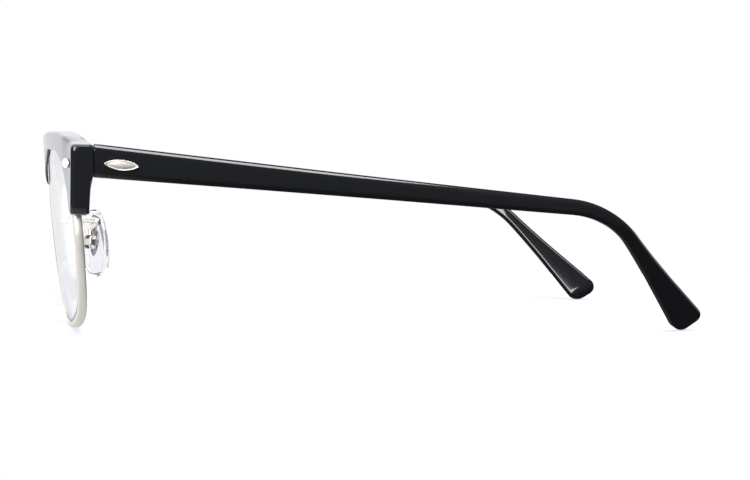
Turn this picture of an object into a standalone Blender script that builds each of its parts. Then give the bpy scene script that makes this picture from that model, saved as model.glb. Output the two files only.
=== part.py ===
# Browline eyeglass frame: acetate brows and temples, metal rims and bridge, screw-on nose pads.
# Metres, +Z up. +X is the wearer's left, the front faces -Y and the temples run along +Y.
# While the pieces are made, y = 0 is the seam between brow and temple and z = 0 the rims' lowest point.

import bpy
import bmesh
from math import cos, pi, radians, sin, sqrt, tan
from mathutils import Matrix, Vector

# Front
LENS_WIDTH = 0.0490
LENS_HEIGHT = 0.0363
BRIDGE_GAP = 0.0210
LENS_THICKNESS = 0.0016
LENS_BEVEL_WIDTH = 0.0008
LENS_EDGE_THICKNESS = 0.0002
BASE_RADIUS = 0.5000
WRAP_ANGLE = radians(4.6)
TILT_ANGLE = radians(6.0)
RIM_SETBACK = 0.00585
END_REACH = 0.0072

# Rim
RIM_DEPTH = 0.00175
RIM_WALL = 0.00045
RIM_FLANGE = 0.0004
RIM_FLANGE_REACH = 0.0003
RIM_CORNER = 0.00025
RIM_GROOVE_GAP = 0.0003

# Brow
BROW_DEPTH = 0.0042
BROW_LIP = 0.0004
BROW_OVERLAP = 0.0009
BROW_FRONT_ROUND = 0.0009
BROW_BACK_ROUND = 0.0026
BROW_INNER_ROUND = 0.0003
BLOCK_FRONT = 0.0043
BLOCK_STEP = 0.00065
BLOCK_BLEND = 0.0117
BLOCK_EDGE_ROUND = 0.0006

# Hinge
HINGE_HEIGHT = 0.0046
HINGE_KNUCKLES = 5
KNUCKLE_RADIUS = 0.00115
KNUCKLE_GAP = 0.0001
HINGE_PIN_RADIUS = 0.0005
PIVOT_INSET = 0.0016
PIVOT_SETBACK = 0.00135
LEAF_THICKNESS = 0.0008
FRONT_LEAF_WIDTH = 0.0036
FRONT_LEAF_REACH = 0.0020
FRONT_LEAF_HEIGHT = 0.0040
TEMPLE_LEAF_HEIGHT = 0.0042
TEMPLE_LEAF_LENGTH = 0.0078
TEMPLE_LEAF_START = 0.0010
LEAF_LUG_LENGTH = 0.0012
LEAF_LUG_DEPTH = 0.0018
LEAF_LUG_HEIGHT = 0.0016
SCREW_HEAD_RADIUS = 0.00085
SCREW_HEAD_HEIGHT = 0.0005
SLOT_WIDTH = 0.00025
SLOT_DEPTH = 0.0002

# Temple
TEMPLE_INSET = 0.0007
TEMPLE_LEVEL_SHARE = 0.854
TEMPLE_HEIGHT = 0.00645
TEMPLE_THICKNESS = 0.0042
TEMPLE_TIP_THICKNESS = 0.0034
TEMPLE_STRAIGHT = 0.0968
TEMPLE_DROP = radians(4.75)
BEND_RADIUS = 0.0220
BEND_ANGLE = radians(42.7)
TIP_LENGTH = 0.0255
TIP_SKEW = 0.0007
TOE_IN = radians(5.3)
TIP_TURN = radians(24.2)
TURN_EASE = 0.0160
TEMPLE_CORNER = 0.0015
TEMPLE_INNER_CORNER = 0.0008
TIP_ROUND = 0.0027
TIP_EDGE_ROUND = 0.0012
CORE_RADIUS = 0.0006
CORE_END_MARGIN = 0.0090

# Plaques
PLAQUE_LENGTH = 0.0068
PLAQUE_HEIGHT = 0.0021
PLAQUE_RISE = 0.0005
PLAQUE_PIN_RADIUS = 0.0004
PLAQUE_PIN_SPACING = 0.0016
BROW_PLAQUE_INSET = 0.0064
BROW_PLAQUE_DROP = 0.0006
TEMPLE_PLAQUE_Y = 0.0053
TEMPLE_PLAQUE_DROP = 0.00035

# Bridge
BRIDGE_HEIGHT = 0.0030
BRIDGE_END_HEIGHT = 0.0025
BRIDGE_THICKNESS = 0.0018
BRIDGE_LEVEL_SHARE = 0.738
BRIDGE_END_LEVEL_SHARE = 0.678
BRIDGE_BOW = 0.0003

# Rim lock and brow screw
LOCK_LEVEL_SHARE = 0.474
LOCK_WIDTH = 0.0026
LOCK_HEIGHT = 0.0034
LOCK_DEPTH = 0.0018
LOCK_SPLIT = 0.0003
LOCK_SCREW_RADIUS = 0.00045
LOCK_HEAD_RADIUS = 0.00065
TAB_LENGTH = 0.0030
TAB_WIDTH = 0.0024
TAB_THICKNESS = 0.0007
TAB_TURN_SHARE = -0.128
BROW_SCREW_RADIUS = 0.0005
BROW_SCREW_DEPTH = 0.0015

# Nose pad
PAD_INSET = 0.0003
PAD_Y = 0.00225
PAD_LEVEL_SHARE = -0.16
PAD_WIDTH = 0.0064
PAD_LENGTH = 0.0138
PAD_THICKNESS = 0.0018
PAD_SPLAY = radians(38)
PAD_LEAN = radians(6)
PAD_SLANT_SHARE = 0.12
PAD_TAPER_SHARE = 0.1
PAD_CORE_WIDTH = 0.0030
PAD_CORE_LENGTH = 0.0058
PAD_CORE_THICKNESS = 0.0005
PAD_CORE_SINK = 0.0004
PAD_AXIS_REACH = 0.0020
PAD_LUG_WIDTH = 0.0009
PAD_LUG_RADIUS = 0.00065
PAD_SCREW_RADIUS = 0.00035
BOX_CHEEK = 0.0005
BOX_HEIGHT = 0.0029
BOX_DEPTH = 0.0021
BOX_BACK = 0.0005
ARM_RADIUS = 0.0006
ARM_START_LEVEL_SHARE = 0.088
ARM_REACH_X = 0.0037
ARM_REACH_Y = 0.0022
ARM_RISE = 0.0049

# Fits and cutting
FIT_GAP = 0.0003
SEAM_GAP = 0.00012
SEAT_GAP = 0.00015
RUNNING_GAP = 0.00005
OVERRUN = 0.0100
WORK_SCALE = 1000
SMOOTH_ANGLE = radians(32)

# Lens outline, as shares of half the lens's width and height, from the top round the temple side
LENS_OUTLINE_SHARES = (
    (0.00, 1.00), (0.49, 0.97), (0.86, 0.75), (1.00, 0.28), (0.95, -0.26), (0.70, -0.77),
    (0.05, -1.00), (-0.46, -0.93), (-0.84, -0.50), (-1.00, 0.08), (-0.93, 0.69), (-0.54, 0.98),
)

# Brow stations from the nasal tip outwards: turn along the lens outline, then the outer edge's
# place as shares of half the lens's width and height from its centre, then the brow's depth there
# and how far its back has come to the seam
BROW_ARCH_SHARES = (
    (-0.193, -0.955, 0.535, 0.57, 0.0), (-0.182, -1.010, 0.570, 0.57, 0.0),
    (-0.162, -1.038, 0.660, 0.58, 0.0), (-0.135, -1.052, 0.790, 0.62, 0.0),
    (-0.110, -1.042, 0.931, 0.70, 0.0), (-0.088, -0.977, 1.063, 0.82, 0.0),
    (-0.060, -0.802, 1.127, 0.94, 0.0), (-0.015, -0.394, 1.158, 1.00, 0.0),
    (0.035, 0.096, 1.162, 1.00, 0.0), (0.085, 0.532, 1.154, 1.00, 0.1),
    (0.125, 0.831, 1.116, 1.00, 0.5), (0.150, 1.008, 1.074, 1.00, 0.95),
)

# The end block's stations: turn, reach as a share of the front's half width, level as above, then
# how round its back edge is above and how far its back stands off the seam below
BLOCK_UPPER_SHARES = (
    (0.165, 0.925, 1.050, 0.50), (0.182, 0.985, 1.019, 0.35), (0.192, 1.000, 0.981, 0.15),
    (0.213, 1.000, 0.689, 0.12),
)
BLOCK_LOWER_SHARES = (
    (0.218, 1.000, 0.651, 0.6), (0.238, 1.000, 0.355, 0.95), (0.245, 0.985, 0.287, 1.0),
)

# Temple height along its length, as shares of the length and of the height at the seam
TEMPLE_HEIGHT_SHARES = (
    (0.00, 1.00), (0.18, 0.845), (0.41, 0.673), (0.66, 0.529), (0.72, 0.49), (0.78, 0.43),
    (0.83, 0.455), (0.89, 0.63), (0.95, 0.89), (1.00, 1.116),
)

# Rings of the lens's faces, then sections of plaque and pad as shares of outline and of rise
LENS_RING_SHARES = (0.02, 0.50)
PLAQUE_DOME_SHARES = ((0.97, 0.0), (1.0, 0.35), (0.9, 0.65), (0.6, 0.95), (0.25, 1.0))
PAD_DOME_SHARES = ((0.8, -1.0), (0.93, -0.8), (1.0, -0.3), (0.98, 0.25), (0.88, 0.7), (0.62, 1.0))

# Counts
OUTLINE_STEPS = 40
BRIDGE_STEPS = 10
CORNER_STEPS = 3
FACE_STEPS = 4
KNUCKLE_SIDES = 12
SCREW_SIDES = 12
ARM_SIDES = 8
ARM_STEPS = 12
CORE_SIDES = 8
STRAIGHT_STEPS = 8
BEND_STEPS = 6
TIP_STEPS = 4
TIP_ROUND_STEPS = 4
PAD_SIDES = 20
PLAQUE_STEPS = 8

# Sizes that follow from the ones above
LENS_X = (BRIDGE_GAP + LENS_WIDTH) / 2
RIM_OUTSET = RIM_GROOVE_GAP + RIM_WALL
LENS_Z = LENS_HEIGHT / 2 + RIM_OUTSET
RIM_HALF_DEPTH = RIM_DEPTH / 2
FRONT_HALF_WIDTH = LENS_X + LENS_WIDTH / 2 + END_REACH
BLOCK_BLEND_START = FRONT_HALF_WIDTH - BLOCK_BLEND
TEMPLE_CENTRE_Z = LENS_Z + TEMPLE_LEVEL_SHARE * LENS_HEIGHT / 2
BRIDGE_Z = LENS_Z + BRIDGE_LEVEL_SHARE * LENS_HEIGHT / 2
BRIDGE_END_Z = LENS_Z + BRIDGE_END_LEVEL_SHARE * LENS_HEIGHT / 2
LOCK_Z = LENS_Z + LOCK_LEVEL_SHARE * LENS_HEIGHT / 2
ARM_START_Z = LENS_Z + ARM_START_LEVEL_SHARE * LENS_HEIGHT / 2
BROW_PLAQUE_X = FRONT_HALF_WIDTH - BROW_PLAQUE_INSET
BROW_PLAQUE_Z = TEMPLE_CENTRE_Z - BROW_PLAQUE_DROP
TEMPLE_OUTER_X = FRONT_HALF_WIDTH - TEMPLE_INSET
TEMPLE_INNER_X = TEMPLE_OUTER_X - TEMPLE_THICKNESS
PIVOT = Vector((TEMPLE_INNER_X - PIVOT_INSET, PIVOT_SETBACK, TEMPLE_CENTRE_Z))
TEMPLE_LENGTH = TEMPLE_STRAIGHT + BEND_RADIUS * BEND_ANGLE + TIP_LENGTH
PAD_SIDE = Vector((sin(PAD_SPLAY), cos(PAD_SPLAY), 0))
PAD_FACING = Vector((-cos(PAD_SPLAY), sin(PAD_SPLAY), 0))
PAD_UP = Vector((0, 0, 1)) * cos(PAD_LEAN) + PAD_FACING * sin(PAD_LEAN)
PAD_NORMAL = PAD_FACING * cos(PAD_LEAN) - Vector((0, 0, 1)) * sin(PAD_LEAN)
PAD_CENTRE = Vector((BRIDGE_GAP / 2 - PAD_INSET, PAD_Y, LENS_Z + PAD_LEVEL_SHARE * LENS_HEIGHT / 2))
PAD_AXIS = PAD_CENTRE - PAD_NORMAL * PAD_AXIS_REACH

# Colour, roughness and metallic of each finish
FINISHES = {
    "acetate": ((0.012, 0.012, 0.015, 1.0), 0.12, 0.0),
    "silver": ((0.72, 0.70, 0.67, 1.0), 0.22, 1.0),
    "steel": ((0.55, 0.55, 0.56, 1.0), 0.25, 1.0),
    "clear": ((0.93, 0.95, 0.97, 0.3), 0.05, 0.0),
    "pad": ((0.90, 0.91, 0.95, 0.4), 0.15, 0.0),
}


def clear_scene():
    for item in list(bpy.data.objects):
        bpy.data.objects.remove(item, do_unlink=True)


def curve_through(points, share, closed):
    # Catmull-Rom curve through tuples of any length; share runs from 0 to 1
    count = len(points)
    spans = count if closed else count - 1
    place = share * spans
    first = min(int(place // 1), spans - 1) if not closed else int(place // 1)
    part = place - first
    picks = []
    for step in (-1, 0, 1, 2):
        index = first + step
        index = index % count if closed else max(0, min(count - 1, index))
        picks.append(points[index])
    a, b, c, d = picks
    mixed = []
    for k in range(len(b)):
        even = 2 * b[k] + (c[k] - a[k]) * part
        square = (2 * a[k] - 5 * b[k] + 4 * c[k] - d[k]) * part ** 2
        cube = (3 * b[k] - a[k] - 3 * c[k] + d[k]) * part ** 3
        mixed.append((even + square + cube) / 2)
    return mixed


def lens_edge(turn, outset=0.0):
    # A point of the left lens's outline in the front view, moved outwards by outset
    turn = turn % 1.0
    width, height = LENS_WIDTH / 2, LENS_HEIGHT / 2
    step = 1 / (OUTLINE_STEPS * OUTLINE_STEPS)
    here = curve_through(LENS_OUTLINE_SHARES, turn, True)
    after = curve_through(LENS_OUTLINE_SHARES, (turn + step) % 1.0, True)
    x = LENS_X + here[0] * width
    z = LENS_Z + here[1] * height
    along_x = (after[0] - here[0]) * width
    along_z = (after[1] - here[1]) * height
    size = sqrt(along_x ** 2 + along_z ** 2)
    return x - along_z / size * outset, z + along_x / size * outset


def rim_y(x, z):
    # The rim's middle plane, tilted, wrapped and slightly domed
    across, up = x - LENS_X, z - LENS_Z
    dome = (across ** 2 + up ** 2) / (2 * BASE_RADIUS)
    return RIM_HALF_DEPTH - RIM_SETBACK + across * tan(WRAP_ANGLE) - up * tan(TILT_ANGLE) + dome


def brow_front_y(x, z):
    # The brow's front: in front of the rim by its lip, turning square to the temple at its end block
    lip = rim_y(x, z) - RIM_HALF_DEPTH - SEAT_GAP - BROW_LIP
    share = (x - BLOCK_BLEND_START) / (FRONT_HALF_WIDTH - BLOCK_BLEND_START)
    share = max(0.0, min(1.0, share))
    share = share * share * (3 - 2 * share)
    return lip * (1 - share) - BLOCK_FRONT * share


def loft(sections, loop=False):
    # A closed skin over sections with equal numbers of points
    work = bmesh.new()
    rings = [[work.verts.new(point) for point in section] for section in sections]
    count = len(rings[0])
    pairs = list(zip(rings, rings[1:]))
    if loop:
        pairs.append((rings[-1], rings[0]))
    for near, far in pairs:
        for i in range(count):
            j = (i + 1) % count
            work.faces.new((near[i], near[j], far[j], far[i]))
    if not loop:
        work.faces.new(rings[0])
        work.faces.new(rings[-1])
    bmesh.ops.recalc_face_normals(work, faces=work.faces)
    # Twisted quads would leave a Boolean open, and triangles are flat
    bmesh.ops.triangulate(work, faces=work.faces)
    mesh = bpy.data.meshes.new("loft")
    work.to_mesh(mesh)
    work.free()
    return mesh


def block(low, high):
    corners = ((low[0], low[1]), (high[0], low[1]), (high[0], high[1]), (low[0], high[1]))
    return loft([[(x, y, z) for x, y in corners] for z in (low[2], high[2])])


def oriented_block(centre, axes, half):
    # A block with its own axes, half its size along each
    a, b, c = (axis * size for axis, size in zip(axes, half))
    corners = (-a - b, a - b, a + b, -a + b)
    return loft([[centre + corner + side for corner in corners] for side in (-c, c)])


def across_axes(direction):
    level = abs(direction.z) < abs(direction.x) + abs(direction.y)
    helper = Vector((0, 0, 1)) if level else Vector((1, 0, 0))
    side = direction.cross(helper).normalized()
    return side, direction.cross(side).normalized()


def turned(start, direction, profile, sides=SCREW_SIDES):
    # A round piece from a profile of (distance along the axis, radius)
    direction = direction.normalized()
    side, up = across_axes(direction)
    rings = []
    for distance, radius in profile:
        centre = start + direction * distance
        ring = []
        for k in range(sides):
            angle = 2 * pi * (k + 1 / 2) / sides
            ring.append(centre + side * radius * cos(angle) + up * radius * sin(angle))
        rings.append(ring)
    return loft(rings)


def rod(start, end, radius, sides=SCREW_SIDES):
    return turned(start, end - start, ((0, radius), ((end - start).length, radius)), sides)


def tube(points, radii, sides):
    # A round tube along points; the axes are carried along so that it doesn't twist
    side = None
    rings = []
    for i, point in enumerate(points):
        before, after = points[max(i - 1, 0)], points[min(i + 1, len(points) - 1)]
        direction = (after - before).normalized()
        if side is None:
            side, up = across_axes(direction)
        side = (side - direction * side.dot(direction)).normalized()
        up = direction.cross(side)
        ring = []
        for k in range(sides):
            angle = 2 * pi * k / sides
            ring.append(point + (side * cos(angle) + up * sin(angle)) * radii[i])
        rings.append(ring)
    return loft(rings)


def tongue(start, end, towards, radius, reach):
    # A bar from start to end, round about its axis on one side and straight on the other
    other = (end - start).normalized().cross(towards)
    outline = [towards * reach - other * radius, towards * reach + other * radius]
    for k in range(KNUCKLE_SIDES // 2 + 1):
        angle = pi / 2 + 2 * pi * k / KNUCKLE_SIDES
        outline.append((towards * cos(angle) + other * sin(angle)) * radius)
    return loft([[centre + place for place in outline] for centre in (start, end)])


def combine(mesh, tool, operation):
    # One Boolean, applied, with the tool used up. It runs enlarged, because the pieces are so small
    link = bpy.context.scene.collection.objects.link
    for each in (mesh, tool):
        each.transform(Matrix.Scale(WORK_SCALE, 4))
    base = bpy.data.objects.new("base", mesh)
    cutter = bpy.data.objects.new("tool", tool)
    link(base)
    link(cutter)
    cutter.hide_render = True
    cutter.display_type = "WIRE"
    modifier = base.modifiers.new("shape", "BOOLEAN")
    modifier.operation = operation
    modifier.object = cutter
    modifier.solver = "EXACT"
    graph = bpy.context.evaluated_depsgraph_get()
    result = bpy.data.meshes.new_from_object(base.evaluated_get(graph))
    result.transform(Matrix.Scale(1 / WORK_SCALE, 4))
    for item in (base, cutter):
        bpy.data.objects.remove(item, do_unlink=True)
    return result


def cut(mesh, *tools):
    for tool in tools:
        mesh = combine(mesh, tool, "DIFFERENCE")
    return mesh


def join(mesh, *tools):
    for tool in tools:
        mesh = combine(mesh, tool, "UNION")
    return mesh


def screw(head_seat, direction, shank_radius, shank_length, head_radius, sides=SCREW_SIDES):
    # Slotted screw: direction points from the head to the tip, head_seat is under the head
    direction = direction.normalized()
    top = head_seat - direction * SCREW_HEAD_HEIGHT
    chamfer = shank_radius / 4
    profile = (
        (0, head_radius - chamfer), (chamfer, head_radius), (SCREW_HEAD_HEIGHT, head_radius),
        (SCREW_HEAD_HEIGHT, shank_radius), (SCREW_HEAD_HEIGHT + shank_length - chamfer, shank_radius),
        (SCREW_HEAD_HEIGHT + shank_length, shank_radius - chamfer),
    )
    side, up = across_axes(direction)
    slot = oriented_block(top, (side, up, direction), (OVERRUN, SLOT_WIDTH / 2, SLOT_DEPTH))
    return cut(turned(top, direction, profile, sides), slot)


# Front pieces, all made for the left side

def make_rim():
    flat = RIM_HALF_DEPTH
    groove = flat - RIM_FLANGE
    profile = (
        (RIM_OUTSET - RIM_CORNER, -flat), (RIM_OUTSET, RIM_CORNER - flat),
        (RIM_OUTSET, flat - RIM_CORNER), (RIM_OUTSET - RIM_CORNER, flat),
        (-RIM_FLANGE_REACH, flat), (-RIM_FLANGE_REACH, groove),
        (RIM_GROOVE_GAP, groove), (RIM_GROOVE_GAP, -groove),
        (-RIM_FLANGE_REACH, -groove), (-RIM_FLANGE_REACH, -flat),
    )
    sections = []
    for k in range(OUTLINE_STEPS):
        section = []
        for outset, depth in profile:
            x, z = lens_edge(k / OUTLINE_STEPS, outset)
            section.append((x, rim_y(x, z) + depth, z))
        sections.append(section)
    ring = loft(sections, loop=True)
    ring = join(ring, lock_block(0), tab_block(0))
    split = block(
        (lock_inner_x(), -OVERRUN, LOCK_Z - LOCK_SPLIT / 2),
        (lock_outer_x() + OVERRUN, OVERRUN, LOCK_Z + LOCK_SPLIT / 2),
    )
    bore = rod(
        lock_axis(LOCK_Z - LOCK_HEIGHT), lock_axis(LOCK_Z + LOCK_HEIGHT),
        LOCK_SCREW_RADIUS + RUNNING_GAP,
    )
    tab_hole = rod(
        tab_axis(-OVERRUN), tab_axis(OVERRUN), BROW_SCREW_RADIUS + RUNNING_GAP,
    )
    return cut(ring, split, bore, tab_hole)


def lock_outline_turn():
    # The turn along the outline where the lock stands, found by halving
    low, high = 1 / 8, 1 / 3
    for _ in range(OUTLINE_STEPS):
        middle = (low + high) / 2
        if lens_edge(middle)[1] > LOCK_Z:
            low = middle
        else:
            high = middle
    return low


def lock_inner_x():
    # Just inside the rim's flange, so that the split opens the ring there
    return lens_edge(lock_outline_turn(), -RIM_FLANGE_REACH - RIM_WALL)[0]


def lock_base_x():
    return lens_edge(lock_outline_turn(), RIM_GROOVE_GAP + RIM_WALL / 2)[0]


def lock_outer_x():
    return lock_base_x() + LOCK_WIDTH


def lock_middle_y():
    x = lock_base_x()
    return rim_y(x, LOCK_Z) + RIM_HALF_DEPTH - LOCK_DEPTH / 2


def lock_block(margin):
    y = lock_middle_y()
    half_depth, half_height = LOCK_DEPTH / 2 + margin, LOCK_HEIGHT / 2 + margin
    back = OVERRUN if margin else 0
    head = SCREW_HEAD_HEIGHT if margin else 0
    return block(
        (lock_base_x(), y - half_depth, LOCK_Z - half_height - head),
        (lock_outer_x() + margin, y + half_depth + back, LOCK_Z + half_height),
    )


def lock_axis(z):
    return Vector((lock_outer_x() - LOCK_HEAD_RADIUS - RIM_WALL / 2, lock_middle_y(), z))


def make_lock_screw():
    seat = lock_axis(LOCK_Z - LOCK_HEIGHT / 2 - RUNNING_GAP)
    return screw(seat, Vector((0, 0, 1)), LOCK_SCREW_RADIUS, LOCK_HEIGHT, LOCK_HEAD_RADIUS)


def tab_frame():
    # The tab runs outwards from the rim at the brow's nasal end
    near = lens_edge(TAB_TURN_SHARE, 0)
    far = lens_edge(TAB_TURN_SHARE, TAB_LENGTH)
    outwards = Vector((far[0] - near[0], 0, far[1] - near[1])).normalized()
    root = Vector((near[0], 0, near[1])) + outwards * (RIM_GROOVE_GAP + RIM_WALL / 2)
    root.y = rim_y(root.x, root.z) + RIM_HALF_DEPTH - TAB_THICKNESS / 2
    return root, outwards


def tab_block(margin):
    root, outwards = tab_frame()
    across = outwards.cross(Vector((0, 1, 0)))
    centre = root + outwards * TAB_LENGTH / 2
    half = (TAB_LENGTH / 2 + margin, TAB_WIDTH / 2 + margin, TAB_THICKNESS / 2 + margin)
    if margin:
        centre = centre + Vector((0, OVERRUN, 0))
        half = (half[0], half[1], half[2] + OVERRUN)
    return oriented_block(centre, (outwards, across, Vector((0, 1, 0))), half)


def tab_axis(distance):
    root, outwards = tab_frame()
    return root + outwards * (TAB_LENGTH - TAB_WIDTH / 2) + Vector((0, distance, 0))


def make_brow_screw():
    seat = tab_axis(TAB_THICKNESS / 2 + RUNNING_GAP)
    return screw(seat, Vector((0, -1, 0)), BROW_SCREW_RADIUS, BROW_SCREW_DEPTH, SCREW_HEAD_RADIUS)


def make_lens():
    half, ridge = LENS_THICKNESS / 2, LENS_EDGE_THICKNESS / 2
    sections = []

    def ring(share, inset, depth):
        section = []
        for k in range(OUTLINE_STEPS):
            x, z = lens_edge(k / OUTLINE_STEPS, -inset)
            x = LENS_X + (x - LENS_X) * share
            z = LENS_Z + (z - LENS_Z) * share
            section.append((x, rim_y(x, z) + depth, z))
        sections.append(section)

    for share in LENS_RING_SHARES:
        ring(share, 0, -half)
    ring(1, LENS_BEVEL_WIDTH, -half)
    ring(1, 0, -ridge)
    ring(1, 0, ridge)
    ring(1, LENS_BEVEL_WIDTH, half)
    for share in reversed(LENS_RING_SHARES):
        ring(share, 0, half)
    return loft(sections)


def brow_station(turn, outer_x, level_share, depth, back_y, edge_round):
    # Rounded section between the lens side and the brow's outer edge
    inner_x, inner_z = lens_edge(turn, -BROW_OVERLAP)
    outer_z = LENS_Z + level_share * LENS_HEIGHT / 2
    along_x, along_z = outer_x - inner_x, outer_z - inner_z
    length = sqrt(along_x ** 2 + along_z ** 2)
    front_round = min(BROW_FRONT_ROUND, length / 3)
    back_round = min(edge_round, length / 2)
    section = []

    def add(reach, depth_from_front, depth_from_back):
        x = inner_x + along_x * reach / length
        z = inner_z + along_z * reach / length
        front = brow_front_y(x, z)
        back = back_y if back_y is not None else front + depth
        y = front + depth_from_front if depth_from_front is not None else back - depth_from_back
        section.append((x, y, z))

    for k in range(CORNER_STEPS + 1):
        angle = pi / 2 * k / CORNER_STEPS
        add(length - front_round * (1 - sin(angle)), front_round * (1 - cos(angle)), None)
    for k in range(CORNER_STEPS + 1):
        angle = pi / 2 * k / CORNER_STEPS
        add(length - back_round * (1 - cos(angle)), None, back_round * (1 - sin(angle)))
    for k in (0, 1):
        add(BROW_INNER_ROUND * (1 - k), None, BROW_INNER_ROUND * k)
    for k in (0, 1):
        add(BROW_INNER_ROUND * k, BROW_INNER_ROUND * (1 - k), None)
    for k in range(1, FACE_STEPS):
        add(BROW_INNER_ROUND + (length - front_round - BROW_INNER_ROUND) * k / FACE_STEPS, 0, None)
    return section


def brow_body():
    sections = []
    arch_steps = 2 * (len(BROW_ARCH_SHARES) - 1)
    for k in range(arch_steps + 1):
        row = curve_through(BROW_ARCH_SHARES, k / arch_steps, False)
        turn, x_share, level_share, depth_share, back_share = row
        back_share = max(0.0, min(1.0, back_share))
        depth = BROW_DEPTH * depth_share
        x, z = LENS_X + x_share * LENS_WIDTH / 2, LENS_Z + level_share * LENS_HEIGHT / 2
        back_y = (brow_front_y(x, z) + depth) * (1 - back_share)
        back = back_y if back_share else None
        sections.append(brow_station(turn, x, level_share, depth, back, BROW_BACK_ROUND * depth_share))
    for turn, x_share, level_share, round_share in BLOCK_UPPER_SHARES:
        reach, edge_round = x_share * FRONT_HALF_WIDTH, BROW_BACK_ROUND * round_share
        sections.append(brow_station(turn, reach, level_share, BROW_DEPTH, 0.0, edge_round))
    for turn, x_share, level_share, step_share in BLOCK_LOWER_SHARES:
        reach, back = x_share * FRONT_HALF_WIDTH, -BLOCK_STEP * step_share
        sections.append(brow_station(turn, reach, level_share, BROW_DEPTH, back, BLOCK_EDGE_ROUND))
    return loft(sections)


def rim_channel():
    # What the rim takes out of the brow, from behind the lip to the back
    outset = RIM_OUTSET + FIT_GAP
    sections = []
    for depth in (-RIM_HALF_DEPTH - SEAT_GAP, OVERRUN):
        section = []
        for k in range(OUTLINE_STEPS):
            x, z = lens_edge(k / OUTLINE_STEPS, outset)
            section.append((x, rim_y(x, z) + depth, z))
        sections.append(section)
    return loft(sections)


def front_leaf_limits(margin):
    # The front leaf's plate, flush with the brow's back
    low_x = PIVOT.x + FRONT_LEAF_REACH - FRONT_LEAF_WIDTH
    height = FRONT_LEAF_HEIGHT / 2 + margin
    middle_z = TEMPLE_CENTRE_Z + (HINGE_HEIGHT - FRONT_LEAF_HEIGHT) / 2
    back = OVERRUN if margin else -SEAT_GAP
    low = (low_x - margin, -LEAF_THICKNESS - margin, middle_z - height)
    high = (low_x + FRONT_LEAF_WIDTH + margin, back, middle_z + height)
    return low, high


def make_brow():
    brow = cut(brow_body(), rim_channel(), lock_block(FIT_GAP), tab_block(FIT_GAP))
    screw_tip = tab_axis(-BROW_SCREW_DEPTH - FIT_GAP + TAB_THICKNESS / 2)
    brow = cut(brow, rod(tab_axis(OVERRUN), screw_tip, BROW_SCREW_RADIUS + RUNNING_GAP))
    brow = cut(brow, block(*front_leaf_limits(FIT_GAP)))
    for x in brow_pin_places():
        hole_start = Vector((x, -OVERRUN, BROW_PLAQUE_Z))
        brow = cut(brow, rod(hole_start, Vector((x, 0, BROW_PLAQUE_Z)), PLAQUE_PIN_RADIUS + RUNNING_GAP))
    return cut(brow, bridge_bar(FIT_GAP))


def brow_pin_places():
    half = PLAQUE_PIN_SPACING / 2
    return BROW_PLAQUE_X - half, BROW_PLAQUE_X + half


def bridge_bar(margin):
    # Arched bar between the rims' nasal sides
    turn = nasal_turn(BRIDGE_END_Z - BRIDGE_END_HEIGHT / 2)
    end_x = lens_edge(turn, RIM_OUTSET + SEAT_GAP)[0] + margin
    end_y = rim_y(end_x, BRIDGE_END_Z)
    sections = []
    for k in range(BRIDGE_STEPS + 1):
        share = 2 * k / BRIDGE_STEPS - 1
        x = end_x * share
        arch = cos(share * pi / 2)
        height = BRIDGE_END_HEIGHT / 2 + (BRIDGE_HEIGHT - BRIDGE_END_HEIGHT) / 2 * arch + margin
        thickness = BRIDGE_THICKNESS / 2 + margin
        y = end_y - (BRIDGE_BOW + end_x * tan(WRAP_ANGLE)) * arch
        z = BRIDGE_END_Z + (BRIDGE_Z - BRIDGE_END_Z) * arch
        section = []
        for j in range(KNUCKLE_SIDES):
            angle = 2 * pi * j / KNUCKLE_SIDES
            flat_y = abs(cos(angle)) ** (2 / 3) * (1 if cos(angle) > 0 else -1)
            flat_z = abs(sin(angle)) ** (2 / 3) * (1 if sin(angle) > 0 else -1)
            section.append((x, y + thickness * flat_y, z + height * flat_z))
        sections.append(section)
    return loft(sections)


def nasal_turn(z):
    # The turn on the nasal side where the outline passes the height z, found by halving
    low, high = -1 / 2, 0.0
    for _ in range(OUTLINE_STEPS):
        middle = (low + high) / 2
        if lens_edge(middle)[1] < z:
            low = middle
        else:
            high = middle
    return low


def plaque(centre, along, up, out, surface, pin_length):
    # Pointed oval with a domed face and two pins; surface gives the seat's place under a point
    half_length, half_height = PLAQUE_LENGTH / 2, PLAQUE_HEIGHT / 2
    outline = []
    for k in range(2 * PLAQUE_STEPS):
        angle = pi * k / PLAQUE_STEPS
        b = abs(sin(angle)) ** (3 / 2) * (1 if sin(angle) >= 0 else -1)
        outline.append((cos(angle) * half_length, b * half_height))
    sections = []
    for share, rise_share in PLAQUE_DOME_SHARES:
        section = []
        for a, b in outline:
            foot = surface(centre + along * a * share + up * b * share)
            section.append(foot + out * (SEAT_GAP + PLAQUE_RISE * rise_share))
        sections.append(section)
    body = loft(sections)
    for place in (-PLAQUE_PIN_SPACING / 2, PLAQUE_PIN_SPACING / 2):
        head = surface(centre + along * place) + out * (SEAT_GAP + PLAQUE_RISE / 2)
        foot = surface(centre + along * place) - out * pin_length
        body = join(body, rod(head, foot, PLAQUE_PIN_RADIUS, ARM_SIDES))
    return body


def make_brow_plaque():
    def seat(point):
        return Vector((point.x, brow_front_y(point.x, point.z), point.z))

    centre = Vector((BROW_PLAQUE_X, 0, BROW_PLAQUE_Z))
    pin_length = -brow_front_y(BROW_PLAQUE_X, BROW_PLAQUE_Z) - LEAF_THICKNESS / 2
    return plaque(centre, Vector((1, 0, 0)), Vector((0, 0, 1)), Vector((0, -1, 0)), seat, pin_length)


# Hinge

def knuckle_levels():
    # Lower and upper end of each knuckle, from the bottom up
    pitch = (HINGE_HEIGHT + KNUCKLE_GAP) / HINGE_KNUCKLES
    bottom = TEMPLE_CENTRE_Z - HINGE_HEIGHT / 2
    return [(bottom + k * pitch, bottom + (k + 1) * pitch - KNUCKLE_GAP) for k in range(HINGE_KNUCKLES)]


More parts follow.
